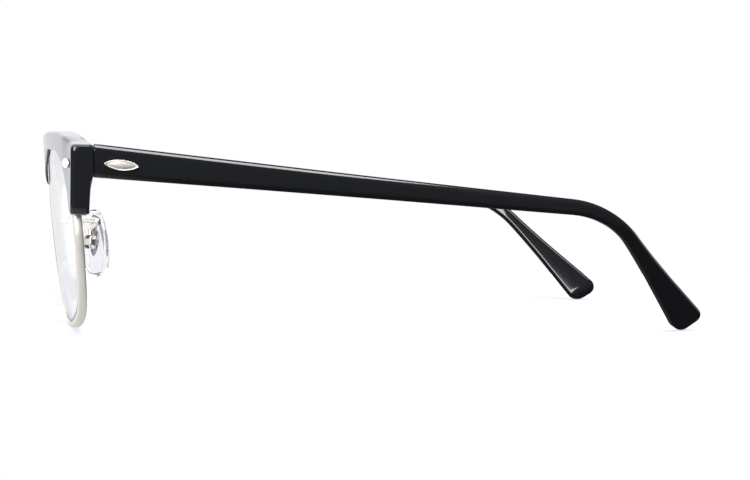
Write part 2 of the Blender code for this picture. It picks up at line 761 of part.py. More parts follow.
def hinge_leaf(plate, levels, towards, reach):
    leaf = plate
    for low, high in levels:
        start, end = Vector((PIVOT.x, PIVOT.y, low)), Vector((PIVOT.x, PIVOT.y, high))
        leaf = join(leaf, tongue(start, end, towards, KNUCKLE_RADIUS, reach))
    low_end = Vector((PIVOT.x, PIVOT.y, TEMPLE_CENTRE_Z - HINGE_HEIGHT))
    high_end = Vector((PIVOT.x, PIVOT.y, TEMPLE_CENTRE_Z + HINGE_HEIGHT))
    return cut(leaf, rod(low_end, high_end, HINGE_PIN_RADIUS + RUNNING_GAP, KNUCKLE_SIDES))


def make_front_hinge():
    plate = block(*front_leaf_limits(0))
    reach = PIVOT.y + LEAF_THICKNESS / 2
    leaf = hinge_leaf(plate, knuckle_levels()[1::2], Vector((0, -1, 0)), reach)
    for x in brow_pin_places():
        start, end = Vector((x, -OVERRUN, BROW_PLAQUE_Z)), Vector((x, 0, BROW_PLAQUE_Z))
        leaf = cut(leaf, rod(start, end, PLAQUE_PIN_RADIUS + RUNNING_GAP))
    return leaf


def temple_leaf_limits(margin):
    # With a margin it is the recess, which also lets the knuckles' roots in from the butt end
    height = TEMPLE_LEAF_HEIGHT / 2 + margin
    start = PIVOT.y - KNUCKLE_RADIUS - margin if margin else TEMPLE_LEAF_START
    low = (TEMPLE_INNER_X - (OVERRUN if margin else 0), start, TEMPLE_CENTRE_Z - height)
    high = (
        TEMPLE_INNER_X + LEAF_THICKNESS + margin,
        TEMPLE_LEAF_START + TEMPLE_LEAF_LENGTH + margin,
        TEMPLE_CENTRE_Z + height,
    )
    return low, high


def leaf_lug_limits(margin):
    # The lug at the leaf's end that the core wire meets
    end = TEMPLE_LEAF_START + TEMPLE_LEAF_LENGTH - RUNNING_GAP
    middle = core_start().z
    height = LEAF_LUG_HEIGHT / 2 + margin
    low = (TEMPLE_INNER_X + LEAF_THICKNESS / 2, end - LEAF_LUG_LENGTH - margin, middle - height)
    high = (TEMPLE_INNER_X + LEAF_THICKNESS + LEAF_LUG_DEPTH + margin, end + margin, middle + height)
    return low, high


def make_temple_hinge():
    plate = join(block(*temple_leaf_limits(0)), block(*leaf_lug_limits(0)))
    reach = PIVOT_INSET + LEAF_THICKNESS / 2
    leaf = hinge_leaf(plate, knuckle_levels()[0::2], Vector((1, 0, 0)), reach)
    for place in temple_pin_places():
        outwards = Vector((OVERRUN, 0, 0))
        leaf = cut(leaf, rod(place - outwards, place + outwards, PLAQUE_PIN_RADIUS + RUNNING_GAP))
    return leaf


def make_hinge_screw():
    top = TEMPLE_CENTRE_Z + HINGE_HEIGHT / 2 + RUNNING_GAP
    seat = Vector((PIVOT.x, PIVOT.y, top))
    return screw(seat, Vector((0, 0, -1)), HINGE_PIN_RADIUS, HINGE_HEIGHT, SCREW_HEAD_RADIUS, KNUCKLE_SIDES)


# Temple

def turn_in(distance):
    # How far the outer face has come in at a distance along the temple
    start = TEMPLE_STRAIGHT
    past = distance - start
    if past <= 0:
        eased = 0.0
    elif past < TURN_EASE:
        eased = past ** 2 / (2 * TURN_EASE)
    else:
        eased = past - TURN_EASE / 2
    return tan(TOE_IN) * min(distance, start + TURN_EASE / 2) + tan(TIP_TURN) * eased


def temple_point(distance):
    # A point of the outer face's middle line
    straight, arc = TEMPLE_STRAIGHT, BEND_RADIUS * BEND_ANGLE
    along = min(distance, straight)
    y = SEAM_GAP + along * cos(TEMPLE_DROP)
    z = TEMPLE_CENTRE_Z - along * sin(TEMPLE_DROP)
    if distance > straight:
        angle = min(distance - straight, arc) / BEND_RADIUS
        y += BEND_RADIUS * (sin(TEMPLE_DROP + angle) - sin(TEMPLE_DROP))
        z -= BEND_RADIUS * (cos(TEMPLE_DROP) - cos(TEMPLE_DROP + angle))
    if distance > straight + arc:
        rest = distance - straight - arc
        y += rest * cos(TEMPLE_DROP + BEND_ANGLE)
        z -= rest * sin(TEMPLE_DROP + BEND_ANGLE)
    return Vector((TEMPLE_OUTER_X - turn_in(distance), y, z))


def temple_axes(distance):
    # Direction along, outwards and upwards at a distance along the temple
    step = TEMPLE_LENGTH / (OUTLINE_STEPS * OUTLINE_STEPS)
    along = (temple_point(distance + step) - temple_point(distance - step)).normalized()
    if distance < step:
        along = (temple_point(2 * step) - temple_point(step)).normalized()
    up = Vector((1, 0, 0)).cross(along).normalized()
    return along, along.cross(up).normalized(), up


def temple_size(distance):
    # Height and thickness there
    share = max(0.0, min(1.0, distance / TEMPLE_LENGTH))
    rows = TEMPLE_HEIGHT_SHARES
    height_share = rows[-1][1]
    for (start, low), (end, high) in zip(rows, rows[1:]):
        if start <= share <= end:
            part = (share - start) / (end - start)
            height_share = low + (high - low) * part
            break
    thickness = TEMPLE_THICKNESS + (TEMPLE_TIP_THICKNESS - TEMPLE_THICKNESS) * share
    return TEMPLE_HEIGHT * height_share, thickness


def temple_section(distance, height_loss, thickness_loss):
    height, thickness = temple_size(distance)
    along, outwards, up = temple_axes(distance)
    centre = temple_point(distance) - outwards * thickness / 2
    half_height = height / 2 - height_loss
    half_thickness = thickness / 2 - thickness_loss
    tip_share = max(0.0, 1 - (TEMPLE_LENGTH - distance) / TIP_LENGTH)
    skew = along * TIP_SKEW * tip_share * 2 / height
    section = []
    for index, (side, level) in enumerate(((1, 1), (-1, 1), (-1, -1), (1, -1))):
        size = TEMPLE_CORNER if side > 0 else TEMPLE_INNER_CORNER
        size = min(size, half_height * 2 / 3, half_thickness * 2 / 3)
        for k in range(CORNER_STEPS + 1):
            angle = pi / 2 * (index + k / CORNER_STEPS)
            across = side * (half_thickness - size) + size * cos(angle)
            rise = level * (half_height - size) + size * sin(angle)
            section.append(centre + outwards * across + (up + skew) * rise)
    return section


def temple_distances():
    straight, arc = TEMPLE_STRAIGHT, BEND_RADIUS * BEND_ANGLE
    places = [straight * k / STRAIGHT_STEPS for k in range(STRAIGHT_STEPS)]
    places += [straight + arc * k / BEND_STEPS for k in range(BEND_STEPS)]
    left = TIP_LENGTH - TIP_ROUND
    places += [straight + arc + left * k / TIP_STEPS for k in range(TIP_STEPS)]
    return places


def butt_section(setback, loss):
    # A section slid along the temple until it lies square to the front, as the seam does
    direction = temple_axes(0)[0]
    section = temple_section(0, loss, loss)
    return [point + direction * ((SEAM_GAP + setback - point.y) / direction.y) for point in section]


def make_temple():
    edge = BLOCK_EDGE_ROUND / 2
    sections = [butt_section(0, edge), butt_section(edge, 0)]
    for distance in temple_distances()[1:]:
        sections.append(temple_section(distance, 0, 0))
    for k in range(TIP_ROUND_STEPS + 1):
        angle = pi / 2 * k / TIP_ROUND_STEPS
        distance = TEMPLE_LENGTH - TIP_ROUND * (1 - sin(angle))
        drop = 1 - cos(angle)
        sections.append(temple_section(distance, TIP_ROUND * drop * 4 / 5, TIP_EDGE_ROUND * drop))
    temple = cut(loft(sections), block(*temple_leaf_limits(FIT_GAP)), block(*leaf_lug_limits(FIT_GAP)))
    for place in temple_pin_places():
        outwards = Vector((OVERRUN, 0, 0))
        hole = rod(place - outwards, place + outwards, PLAQUE_PIN_RADIUS + RUNNING_GAP)
        temple = cut(temple, hole)
    return cut(temple, core_wire(FIT_GAP / 2))


def temple_plaque_centre():
    return temple_point(TEMPLE_PLAQUE_Y / cos(TEMPLE_DROP)) - Vector((0, 0, TEMPLE_PLAQUE_DROP))


def temple_pin_places():
    middle = temple_plaque_centre()
    half = PLAQUE_PIN_SPACING / 2
    x = TEMPLE_INNER_X
    drop = half * tan(TEMPLE_DROP)
    return Vector((x, middle.y - half, middle.z + drop)), Vector((x, middle.y + half, middle.z - drop))


def core_point(distance):
    thickness = temple_size(distance)[1]
    outwards = temple_axes(distance)[1]
    return temple_point(distance) - outwards * thickness / 2


def core_start():
    return core_point(TEMPLE_LEAF_START + TEMPLE_LEAF_LENGTH + SEAT_GAP)


def core_wire(margin):
    # The wire starts behind the leaf's lug; with a margin it is the channel, open at the lug's pocket
    start = TEMPLE_LEAF_START + TEMPLE_LEAF_LENGTH + SEAT_GAP - margin
    end = TEMPLE_LENGTH - CORE_END_MARGIN + margin
    places = [start] + [d for d in temple_distances() if start + TIP_ROUND < d < end - TIP_ROUND] + [end]
    points = [core_point(distance) for distance in places]
    return tube(points, [CORE_RADIUS + margin] * len(points), CORE_SIDES)


def make_temple_core():
    return core_wire(0)


def make_temple_plaque():
    def seat(point):
        return Vector((TEMPLE_OUTER_X - turn_in(point.y), point.y, point.z))

    along, _, up = temple_axes(TEMPLE_PLAQUE_Y / cos(TEMPLE_DROP))
    pin_length = TEMPLE_THICKNESS - LEAF_THICKNESS / 2
    level = Vector((0, along.y, along.z)).normalized()
    return plaque(temple_plaque_centre(), level, up, Vector((1, 0, 0)), seat, pin_length)


# Nose pad

def pad_place(side, up, out):
    return PAD_CENTRE + PAD_SIDE * side + PAD_UP * up + PAD_NORMAL * out


def rounded_outline(half_width, half_length, sides):
    # Rounded rectangle, wider at its bottom, which lies further back than its top
    outline = []
    for k in range(sides):
        angle = 2 * pi * k / sides
        across = abs(cos(angle)) ** (2 / 3) * (1 if cos(angle) > 0 else -1)
        rise = abs(sin(angle)) ** (2 / 3) * (1 if sin(angle) > 0 else -1)
        side = across * (1 - PAD_TAPER_SHARE * rise)
        outline.append((half_width * side - PAD_SLANT_SHARE * half_length * rise, half_length * rise))
    return outline


def make_nose_pad():
    outline = rounded_outline(PAD_WIDTH / 2, PAD_LENGTH / 2, PAD_SIDES)
    half = PAD_THICKNESS / 2
    sections = []
    for share, depth_share in PAD_DOME_SHARES:
        sections.append([pad_place(a * share, b * share, half * depth_share) for a, b in outline])
    recess = pad_plate(SEAT_GAP, OVERRUN)
    return cut(loft(sections), recess)


def pad_plate(margin, back):
    # Teardrop plate let into the pad's back, its point down
    half_width, half_length = PAD_CORE_WIDTH / 2 + margin, PAD_CORE_LENGTH / 2 + margin
    outline = []
    for k in range(KNUCKLE_SIDES):
        angle = 2 * pi * k / KNUCKLE_SIDES
        taper = 1 + sin(angle) / 3
        outline.append((half_width * cos(angle) * taper * 3 / 4, half_length * sin(angle)))
    deep = PAD_CORE_SINK + margin - PAD_THICKNESS / 2
    shallow = PAD_CORE_SINK - PAD_CORE_THICKNESS - PAD_THICKNESS / 2 - back
    return loft([[pad_place(a, b, out) for a, b in outline] for out in (shallow, deep)])


def make_pad_core():
    half = PAD_SIDE * PAD_LUG_WIDTH / 2
    reach = PAD_AXIS_REACH + PAD_CORE_SINK - PAD_CORE_THICKNESS / 2 - PAD_THICKNESS / 2
    lug = tongue(PAD_AXIS - half, PAD_AXIS + half, PAD_NORMAL, PAD_LUG_RADIUS, reach)
    core = join(pad_plate(0, 0), lug)
    far = PAD_SIDE * OVERRUN
    return cut(core, rod(PAD_AXIS - far, PAD_AXIS + far, PAD_SCREW_RADIUS + RUNNING_GAP))


def box_centre():
    reach = PAD_AXIS_REACH + (BOX_DEPTH - PAD_LUG_RADIUS * 2) / 2
    return pad_place(0, 0, -reach)


def make_pad_box():
    axes = (PAD_SIDE, PAD_UP, PAD_NORMAL)
    half_width = PAD_LUG_WIDTH / 2 + KNUCKLE_GAP + BOX_CHEEK
    box = oriented_block(box_centre(), axes, (half_width, BOX_HEIGHT / 2, BOX_DEPTH / 2))
    room = oriented_block(
        box_centre() + PAD_NORMAL * (BOX_BACK + OVERRUN / 2), axes,
        (PAD_LUG_WIDTH / 2 + KNUCKLE_GAP, OVERRUN, BOX_DEPTH / 2 + OVERRUN / 2),
    )
    far = PAD_SIDE * OVERRUN
    bore = rod(PAD_AXIS - far, PAD_AXIS + far, PAD_SCREW_RADIUS + RUNNING_GAP)
    return cut(box, room, bore)


def make_pad_screw():
    half_width = PAD_LUG_WIDTH / 2 + KNUCKLE_GAP + BOX_CHEEK
    seat = PAD_AXIS + PAD_SIDE * (half_width + RUNNING_GAP)
    return screw(seat, -PAD_SIDE, PAD_SCREW_RADIUS, half_width * 2, PAD_SCREW_RADIUS * 2)


def make_pad_arm():
    # Foot on the rim's back, out and back in one sweep, then down onto the box
    turn = nasal_turn(ARM_START_Z)
    x, z = lens_edge(turn, RIM_WALL)
    foot = Vector((x, rim_y(x, z) + RIM_HALF_DEPTH + SEAT_GAP, z))
    top = box_centre() + PAD_UP * (BOX_HEIGHT / 2 + SEAT_GAP)
    above = top + PAD_UP * ARM_RADIUS * 2
    bend = Vector((PAD_CENTRE.x + ARM_REACH_X, ARM_REACH_Y, PAD_CENTRE.z + ARM_RISE))
    points = (
        foot, foot + Vector((0, ARM_RADIUS * 2, 0)),
        foot.lerp(bend, 1 / 2) + Vector((0, 0, ARM_RADIUS / 2)),
        bend, bend.lerp(above, 1 / 2) + (bend - foot).normalized() * ARM_RADIUS, above, top,
    )
    path = [Vector(curve_through(points, k / ARM_STEPS, False)) for k in range(ARM_STEPS + 1)]
    return tube(path, [ARM_RADIUS] * len(path), ARM_SIDES)


# Assembly

def finish(name, kind):
    colour, roughness, metallic = FINISHES[kind]
    material = bpy.data.materials.new(name)
    material.use_nodes = True
    shader = material.node_tree.nodes["Principled BSDF"]
    shader.inputs["Base Color"].default_value = colour
    shader.inputs["Roughness"].default_value = roughness
    shader.inputs["Metallic"].default_value = metallic
    return material


def add_empty(name, place, parent=None):
    empty = bpy.data.objects.new(name, None)
    bpy.context.scene.collection.objects.link(empty)
    empty.parent = parent
    empty.location = place
    return empty


def add_piece(name, mesh, kind, parent, origin):
    mesh.transform(Matrix.Translation(-origin))
    mesh.shade_smooth()
    mesh.set_sharp_from_angle(angle=SMOOTH_ANGLE)
    mesh.materials.clear()
    mesh.materials.append(finish(name, kind))
    mesh.name = name
    piece = bpy.data.objects.new(name, mesh)
    bpy.context.scene.collection.objects.link(piece)
    piece.parent = parent


def mirrored(mesh):
    other = mesh.copy()
    other.transform(Matrix.Scale(-1, 4, Vector((1, 0, 0))))
    other.flip_normals()
    return other


def add_pair(name, mesh, kind, pivots, pivot):
    # The left piece and its mirror image, each at its side's pivot
    add_piece("right_" + name, mirrored(mesh), kind, pivots["right"], Vector((-pivot.x, pivot.y, pivot.z)))
    add_piece("left_" + name, mesh, kind, pivots["left"], pivot)


def build():
    clear_scene()
    root = add_empty("front_origin", Vector((0, 0, 0)))
    temple_pivots, pad_pivots = {}, {}
    for side, sign in (("left", 1), ("right", -1)):
        place = Vector((sign * PIVOT.x, PIVOT.y, PIVOT.z))
        temple_pivots[side] = add_empty(side + "_temple_pivot", place, root)
        place = Vector((sign * PAD_AXIS.x, PAD_AXIS.y, PAD_AXIS.z))
        pad_pivots[side] = add_empty(side + "_pad_pivot", place, root)
    front = {"left": root, "right": root}
    still = Vector((0, 0, 0))

    add_piece("bridge", bridge_bar(0), "silver", root, still)
    add_pair("rim", make_rim(), "silver", front, still)
    add_pair("rim_lock_screw", make_lock_screw(), "steel", front, still)
    add_pair("brow_screw", make_brow_screw(), "steel", front, still)
    add_pair("lens", make_lens(), "clear", front, still)
    add_pair("brow", make_brow(), "acetate", front, still)
    add_pair("brow_plaque", make_brow_plaque(), "silver", front, still)
    add_pair("front_hinge", make_front_hinge(), "steel", front, still)
    add_pair("hinge_screw", make_hinge_screw(), "steel", front, still)
    add_pair("pad_arm", make_pad_arm(), "silver", front, still)
    add_pair("pad_box", make_pad_box(), "silver", front, still)
    add_pair("pad_screw", make_pad_screw(), "steel", front, still)
    add_pair("temple_hinge", make_temple_hinge(), "steel", temple_pivots, PIVOT)
    add_pair("temple", make_temple(), "acetate", temple_pivots, PIVOT)
    add_pair("temple_core", make_temple_core(), "steel", temple_pivots, PIVOT)
    add_pair("temple_plaque", make_temple_plaque(), "silver", temple_pivots, PIVOT)
    add_pair("nose_pad", make_nose_pad(), "pad", pad_pivots, PAD_AXIS)
    add_pair("pad_core", make_pad_core(), "steel", pad_pivots, PAD_AXIS)

    # The origin is the middle of the footprint, on the floor
    bpy.context.view_layer.update()
    pieces = [item for item in bpy.data.objects if item.type == "MESH"]
    corners = [item.matrix_world @ vertex.co for item in pieces for vertex in item.data.vertices]
    ys = [corner.y for corner in corners]
    root.location = (0, -(min(ys) + max(ys)) / 2, -min(corner.z for corner in corners))
    bpy.context.view_layer.update()
    for side in ("left", "right"):
        print(side, "hinge axis at", tuple(temple_pivots[side].matrix_world.translation))
        print(side, "pad axis at", tuple(pad_pivots[side].matrix_world.translation))
    print("seam plane at y =", root.location.y, "rim bottoms at z =", root.location.z)


build()
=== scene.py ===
import bpy
import bmesh
from math import copysign, cos, pi, radians, sin, sqrt, tan
from mathutils import Matrix, Vector


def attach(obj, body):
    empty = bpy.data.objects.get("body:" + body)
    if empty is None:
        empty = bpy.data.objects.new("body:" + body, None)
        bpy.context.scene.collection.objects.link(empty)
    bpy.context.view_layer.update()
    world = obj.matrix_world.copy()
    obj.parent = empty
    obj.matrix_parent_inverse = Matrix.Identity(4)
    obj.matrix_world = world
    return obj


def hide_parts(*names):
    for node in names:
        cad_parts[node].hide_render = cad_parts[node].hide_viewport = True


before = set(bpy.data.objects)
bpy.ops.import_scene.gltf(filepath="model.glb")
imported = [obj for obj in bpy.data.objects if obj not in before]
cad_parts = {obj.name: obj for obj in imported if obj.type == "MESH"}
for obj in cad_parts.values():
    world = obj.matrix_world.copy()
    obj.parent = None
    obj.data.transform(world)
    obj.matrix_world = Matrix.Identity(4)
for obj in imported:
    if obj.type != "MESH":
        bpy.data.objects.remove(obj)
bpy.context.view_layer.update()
print("packed frame loaded")

mm = 0.001
seam = (0.0, -60.1431, 0.2249)  # world place in mm of the middle of the brow-temple seam, on the rims' level
halvings = 30


# Curves and meshes

def place(x, y, z):
    return Vector((x + seam[0], y + seam[1], z + seam[2])) * mm


def within(value):  # held between 0 and 1
    return max(0.0, min(1.0, value))


def signedPower(value, power):  # a power that keeps the sign: squares off a round outline, or points it
    return copysign(abs(value) ** power, value)


def quarterTurn(steps):  # sines and cosines from 0 to 90 degrees
    return [(sin(pi / 2 * k / steps), cos(pi / 2 * k / steps)) for k in range(steps + 1)]


def curveThrough(points, share, closed=False):  # smooth curve through tuples, share from 0 to 1
    count = len(points)
    spans = count if closed else count - 1
    spot = share * spans
    first = int(spot) if closed else min(int(spot), spans - 1)
    part = spot - first
    picks = []
    for step in (-1, 0, 1, 2):
        index = first + step
        picks.append(points[index % count if closed else max(0, min(count - 1, index))])
    mixed = []
    for a, b, c, d in zip(*picks):
        even = 2 * b + (c - a) * part
        square = (2 * a - 5 * b + 4 * c - d) * part ** 2
        cube = (3 * b - a - 3 * c + d) * part ** 3
        mixed.append((even + square + cube) / 2)
    return mixed


def curveAt(points, x):  # second value of a rising (x, value) curve where its first value is x
    low, high = 0.0, 1.0
    for _ in range(halvings):
        middle = (low + high) / 2
        if curveThrough(points, middle)[0] < x:
            low = middle
        else:
            high = middle
    return curveThrough(points, low)[1]


def skin(sections, closedLoop=False):  # mesh over sections with equal numbers of points, its ends closed
    work = bmesh.new()
    rings = [[work.verts.new(place(*point)) for point in section] for section in sections]
    count = len(rings[0])
    pairs = list(zip(rings, rings[1:])) + ([(rings[-1], rings[0])] if closedLoop else [])
    for near, far in pairs:
        for i in range(count):
            j = (i + 1) % count
            work.faces.new((near[i], near[j], far[j], far[i]))
    if not closedLoop:
        work.faces.new(rings[0])
        work.faces.new(rings[-1])
    bmesh.ops.recalc_face_normals(work, faces=work.faces)
    mesh = bpy.data.meshes.new("skin")
    work.to_mesh(mesh)
    work.free()
    return mesh


def joined(*meshes):  # several closed shells as one mesh
    work = bmesh.new()
    for mesh in meshes:
        work.from_mesh(mesh)
        bpy.data.meshes.remove(mesh)
    whole = bpy.data.meshes.new("joined")
    work.to_mesh(whole)
    work.free()
    return whole


def roundEnd(sections, reach, loss, fromStart=False):  # narrows the sections towards a rounded end
    order = sections if fromStart else sections[::-1]
    middles = [sum((Vector(point) for point in section), Vector()) / len(section) for section in order]
    travelled = 0.0
    for i, section in enumerate(order):
        if i:
            travelled += (middles[i] - middles[i - 1]).length
        if travelled >= reach:
            break
        share = 1 - travelled / reach
        keep = 1 - loss * (1 - sqrt(1 - share ** 2))
        for k, point in enumerate(section):
            section[k] = tuple(middles[i] + (Vector(point) - middles[i]) * keep)


def addPiece(name, mesh, material, body, replaced, sharpAngle):
    mesh.shade_smooth()
    mesh.set_sharp_from_angle(angle=radians(sharpAngle))
    mesh.materials.clear()
    mesh.materials.append(material)
    mesh.name = name
    piece = bpy.data.objects.new(name, mesh)
    bpy.context.scene.collection.objects.link(piece)
    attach(piece, body)
    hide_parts(*replaced)


def addPair(name, mesh, material, body, replaced, sharpAngle):  # left piece and its mirror image
    other = mesh.copy()
    other.transform(Matrix.Scale(-1, 4, Vector((1, 0, 0))))
    other.flip_normals()
    for side, own in (("left", mesh), ("right", other)):
        sideBody = body if body == "front_body" else side + "_" + body
        taken = [side + "_" + node for node in replaced]
        addPiece(side + name[0].upper() + name[1:], own, material, sideBody, taken, sharpAngle)


# Materials

def hexColour(text):  # sRGB hex to Blender's linear colour
    parts = [int(text[i:i + 2], 16) / 255 for i in (0, 2, 4)]
    return tuple(c / 12.92 if c <= 0.04045 else ((c + 0.055) / 1.055) ** 2.4 for c in parts) + (1.0,)


def addNode(tree, kind, settings=None, **inputs):  # a node with its settings, and its inputs set or linked
    node = tree.nodes.new(kind)
    for key, value in (settings or {}).items():
        setattr(node, key, value)
    for key, value in inputs.items():
        numbered = key[0] == "i" and key[1:].isdigit()
        socket = node.inputs[int(key[1:]) if numbered else key.replace("_", " ")]
        if isinstance(value, bpy.types.NodeSocket):
            tree.links.new(value, socket)
        else:
            socket.default_value = value
    return node


def makeMaterial(name, look):  # patches vary its gloss and grain is its relief, each (size in mm, detail)
    material = bpy.data.materials.new(name)
    material.use_nodes = True
    tree = material.node_tree
    shader = tree.nodes["Principled BSDF"]
    shader.inputs["Base Color"].default_value = hexColour(look["colour"])
    for socket, value in look["optics"].items():
        shader.inputs[socket].default_value = value
    spot = addNode(tree, "ShaderNodeTexCoord").outputs["Object"]
    noises = {}
    for pattern in ("patches", "grain"):
        sizeMm, detail = look[pattern]
        noise = addNode(tree, "ShaderNodeTexNoise", Vector=spot, Scale=1000 / sizeMm, Detail=detail)
        noises[pattern] = noise.outputs["Fac"]
    low, high = look["gloss"]
    gloss = addNode(tree, "ShaderNodeMapRange", Value=noises["patches"], To_Min=low, To_Max=high)
    tree.links.new(gloss.outputs["Result"], shader.inputs["Roughness"])
    strength, depthMm = look["relief"]
    bump = addNode(tree, "ShaderNodeBump", Height=noises["grain"], Strength=strength, Distance=depthMm * mm)
    tree.links.new(bump.outputs["Normal"], shader.inputs["Normal"])
    return material


# cellulose acetate sheet, milled, tumbled and buffed: deep black with a wet shine
acetate = makeMaterial("polishedBlackAcetate", {
    "colour": "151619", "optics": {"IOR": 1.48}, "gloss": (0.06, 0.11), "patches": (7.0, 3.0),
    "grain": (9.0, 1.0), "relief": (0.02, 0.1),
})
# nickel silver of rims, bridge and temple plaques, satin-brushed before its palladium plating: warm and soft
satin = makeMaterial("satinNickelSilver", {
    "colour": "efebe3", "optics": {"Metallic": 1.0}, "gloss": (0.38, 0.50), "patches": (1.6, 3.0),
    "grain": (0.10, 3.0), "relief": (0.12, 0.01),
})
# cast and polished nickel silver of brow plaques, pad arms and boxes under the same plating
silver = makeMaterial("platedNickelSilver", {
    "colour": "e6e2da", "optics": {"Metallic": 1.0}, "gloss": (0.12, 0.22), "patches": (1.2, 3.0),
    "grain": (0.12, 3.0), "relief": (0.05, 0.01),
})
# turned and stamped stainless steel of hinges, screws and cores: greyer and duller than the plating
steel = makeMaterial("stampedStainlessSteel", {
    "colour": "9a9a9e", "optics": {"Metallic": 1.0}, "gloss": (0.16, 0.30), "patches": (0.8, 3.0),
    "grain": (0.08, 3.0), "relief": (0.08, 0.01),
})
# moulded acrylic show lens: clear, with the faint ripple of a moulding
lensPlastic = makeMaterial("mouldedAcrylic", {
    "colour": "fcfdfd", "optics": {"IOR": 1.49, "Transmission Weight": 1.0}, "gloss": (0.0, 0.015),
    "patches": (14.0, 1.0), "grain": (14.0, 1.0), "relief": (0.02, 0.1),
})
# moulded silicone: clear, hardly tinted, with a slightly hazy skin
padSilicone = makeMaterial("mouldedSilicone", {
    "colour": "fafafd", "optics": {"IOR": 1.41, "Transmission Weight": 1.0}, "gloss": (0.02, 0.05),
    "patches": (2.4, 3.0), "grain": (2.4, 3.0), "relief": (0.01, 0.02),
})
print("materials made")


# Lens and rim

lensShape = {
    "width": 49.0, "height": 36.3, "gap": 21.0, "base": 500.0, "wrap": radians(4.6), "tilt": radians(6.0),
    "setback": 5.85, "thickness": 1.6, "bevel": 0.8, "edge": 0.2, "steps": 160, "rings": 8, "hub": 0.02,
    "outline": (
        (0.00, 1.00), (0.49, 0.97), (0.86, 0.75), (1.00, 0.28), (0.95, -0.26), (0.70, -0.77),
        (0.05, -1.00), (-0.46, -0.93), (-0.84, -0.50), (-1.00, 0.08), (-0.93, 0.69), (-0.54, 0.98),
    ),
}
rimShape = {
    "depth": 1.75, "wall": 0.45, "groove": 0.3, "flange": 0.4, "reach": 0.3, "round": 0.3, "crown": 0.04,
    "lipEdge": 0.1, "roundSteps": 4, "faceSteps": 4,
}
lensX = (lensShape["gap"] + lensShape["width"]) / 2
rimOut = rimShape["groove"] + rimShape["wall"]
lensZ = lensShape["height"] / 2 + rimOut


def lensEdge(turn, outset=0.0):  # front-view point of the left lens's outline, moved outwards
    halfWidth, halfHeight = lensShape["width"] / 2, lensShape["height"] / 2
    step = 1 / lensShape["steps"] ** 2
    here = curveThrough(lensShape["outline"], turn % 1.0, True)
    after = curveThrough(lensShape["outline"], (turn + step) % 1.0, True)
    alongX, alongZ = (after[0] - here[0]) * halfWidth, (after[1] - here[1]) * halfHeight
    size = sqrt(alongX ** 2 + alongZ ** 2)
    x, z = lensX + here[0] * halfWidth, lensZ + here[1] * halfHeight
    return x - alongZ / size * outset, z + alongX / size * outset


def rimY(x, z):  # the rim's middle plane: tilted, wrapped and slightly domed
    across, up = x - lensX, z - lensZ
    dome = (across ** 2 + up ** 2) / (2 * lensShape["base"])
    flat = rimShape["depth"] / 2 - lensShape["setback"]
    return flat + across * tan(lensShape["wrap"]) - up * tan(lensShape["tilt"]) + dome


def ringOf(profile, steps):  # a closed ring that follows the lens, from (outset, depth) points
    sections = []
    for k in range(steps):
        section = []
        for outset, depth in profile:
            x, z = lensEdge(k / steps, outset)
            section.append((x, rimY(x, z) + depth, z))
        sections.append(section)
    return skin(sections, closedLoop=True)


def rimProfile():  # channel section with a slightly crowned outer band
    half, corner = rimShape["depth"] / 2, rimShape["round"]
    arc = quarterTurn(rimShape["roundSteps"])
    profile = [(rimOut - corner * (1 - s), corner * (1 - c) - half) for s, c in arc]
    for k in range(1, rimShape["faceSteps"]):
        share = 2 * k / rimShape["faceSteps"] - 1
        profile.append((rimOut + rimShape["crown"] * (1 - share ** 2), share * (half - corner)))
    profile += [(rimOut - corner * (1 - c), half - corner * (1 - s)) for s, c in arc]
    inner, groove, lip = -rimShape["reach"], half - rimShape["flange"], rimShape["lipEdge"]
    profile += [(inner + lip, half), (inner, half - lip), (inner, groove + lip), (inner + lip, groove)]
    profile += [(rimShape["groove"], groove), (rimShape["groove"], -groove)]
    profile += [(inner + lip, -groove), (inner, -groove - lip), (inner, lip - half), (inner + lip, -half)]
    return profile


def makeLens():
    half, ridge, steps = lensShape["thickness"] / 2, lensShape["edge"] / 2, lensShape["steps"]
    sections = []

    def ring(share, inset, depth):
        section = []
        for k in range(steps):
            x, z = lensEdge(k / steps, -inset)
            x, z = lensX + (x - lensX) * share, lensZ + (z - lensZ) * share
            section.append((x, rimY(x, z) + depth, z))
        sections.append(section)

    shares = [lensShape["hub"]] + [k / lensShape["rings"] for k in range(1, lensShape["rings"])]
    for share in shares:
        ring(share, lensShape["bevel"] * share, -half)
    ring(1, lensShape["bevel"], -half)
    ring(1, 0, -ridge)
    ring(1, 0, ridge)
    ring(1, lensShape["bevel"], half)
    for share in reversed(shares):
        ring(share, lensShape["bevel"] * share, half)
    return skin(sections)


def bevelledBlock(low, high, edge):  # a block with all its edges taken off, built up from four rings
    sections = []
    for z, inset in ((low[2], edge), (low[2] + edge, 0), (high[2] - edge, 0), (high[2], edge)):
        x0, y0, x1, y1 = low[0] + inset, low[1] + inset, high[0] - inset, high[1] - inset
        sections.append([
            (x0 + edge, y0, z), (x1 - edge, y0, z), (x1, y0 + edge, z), (x1, y1 - edge, z),
            (x1 - edge, y1, z), (x0 + edge, y1, z), (x0, y1 - edge, z), (x0, y0 + edge, z),
        ])
    return skin(sections)


lockShape = {"level": 27.5, "width": 2.6, "height": 3.4, "depth": 1.8, "split": 0.3, "edge": 0.2}
tabShape = {"turn": -0.128, "length": 3.0, "width": 2.4, "thickness": 0.7, "steps": 8}


def turnAtLevel(low, high, level):  # where the outline passes a height between two turns, found by halving
    rising = lensEdge(high)[1] > lensEdge(low)[1]
    for _ in range(halvings):
        middle = (low + high) / 2
        if (lensEdge(middle)[1] < level) == rising:
            low = middle
        else:
            high = middle
    return low


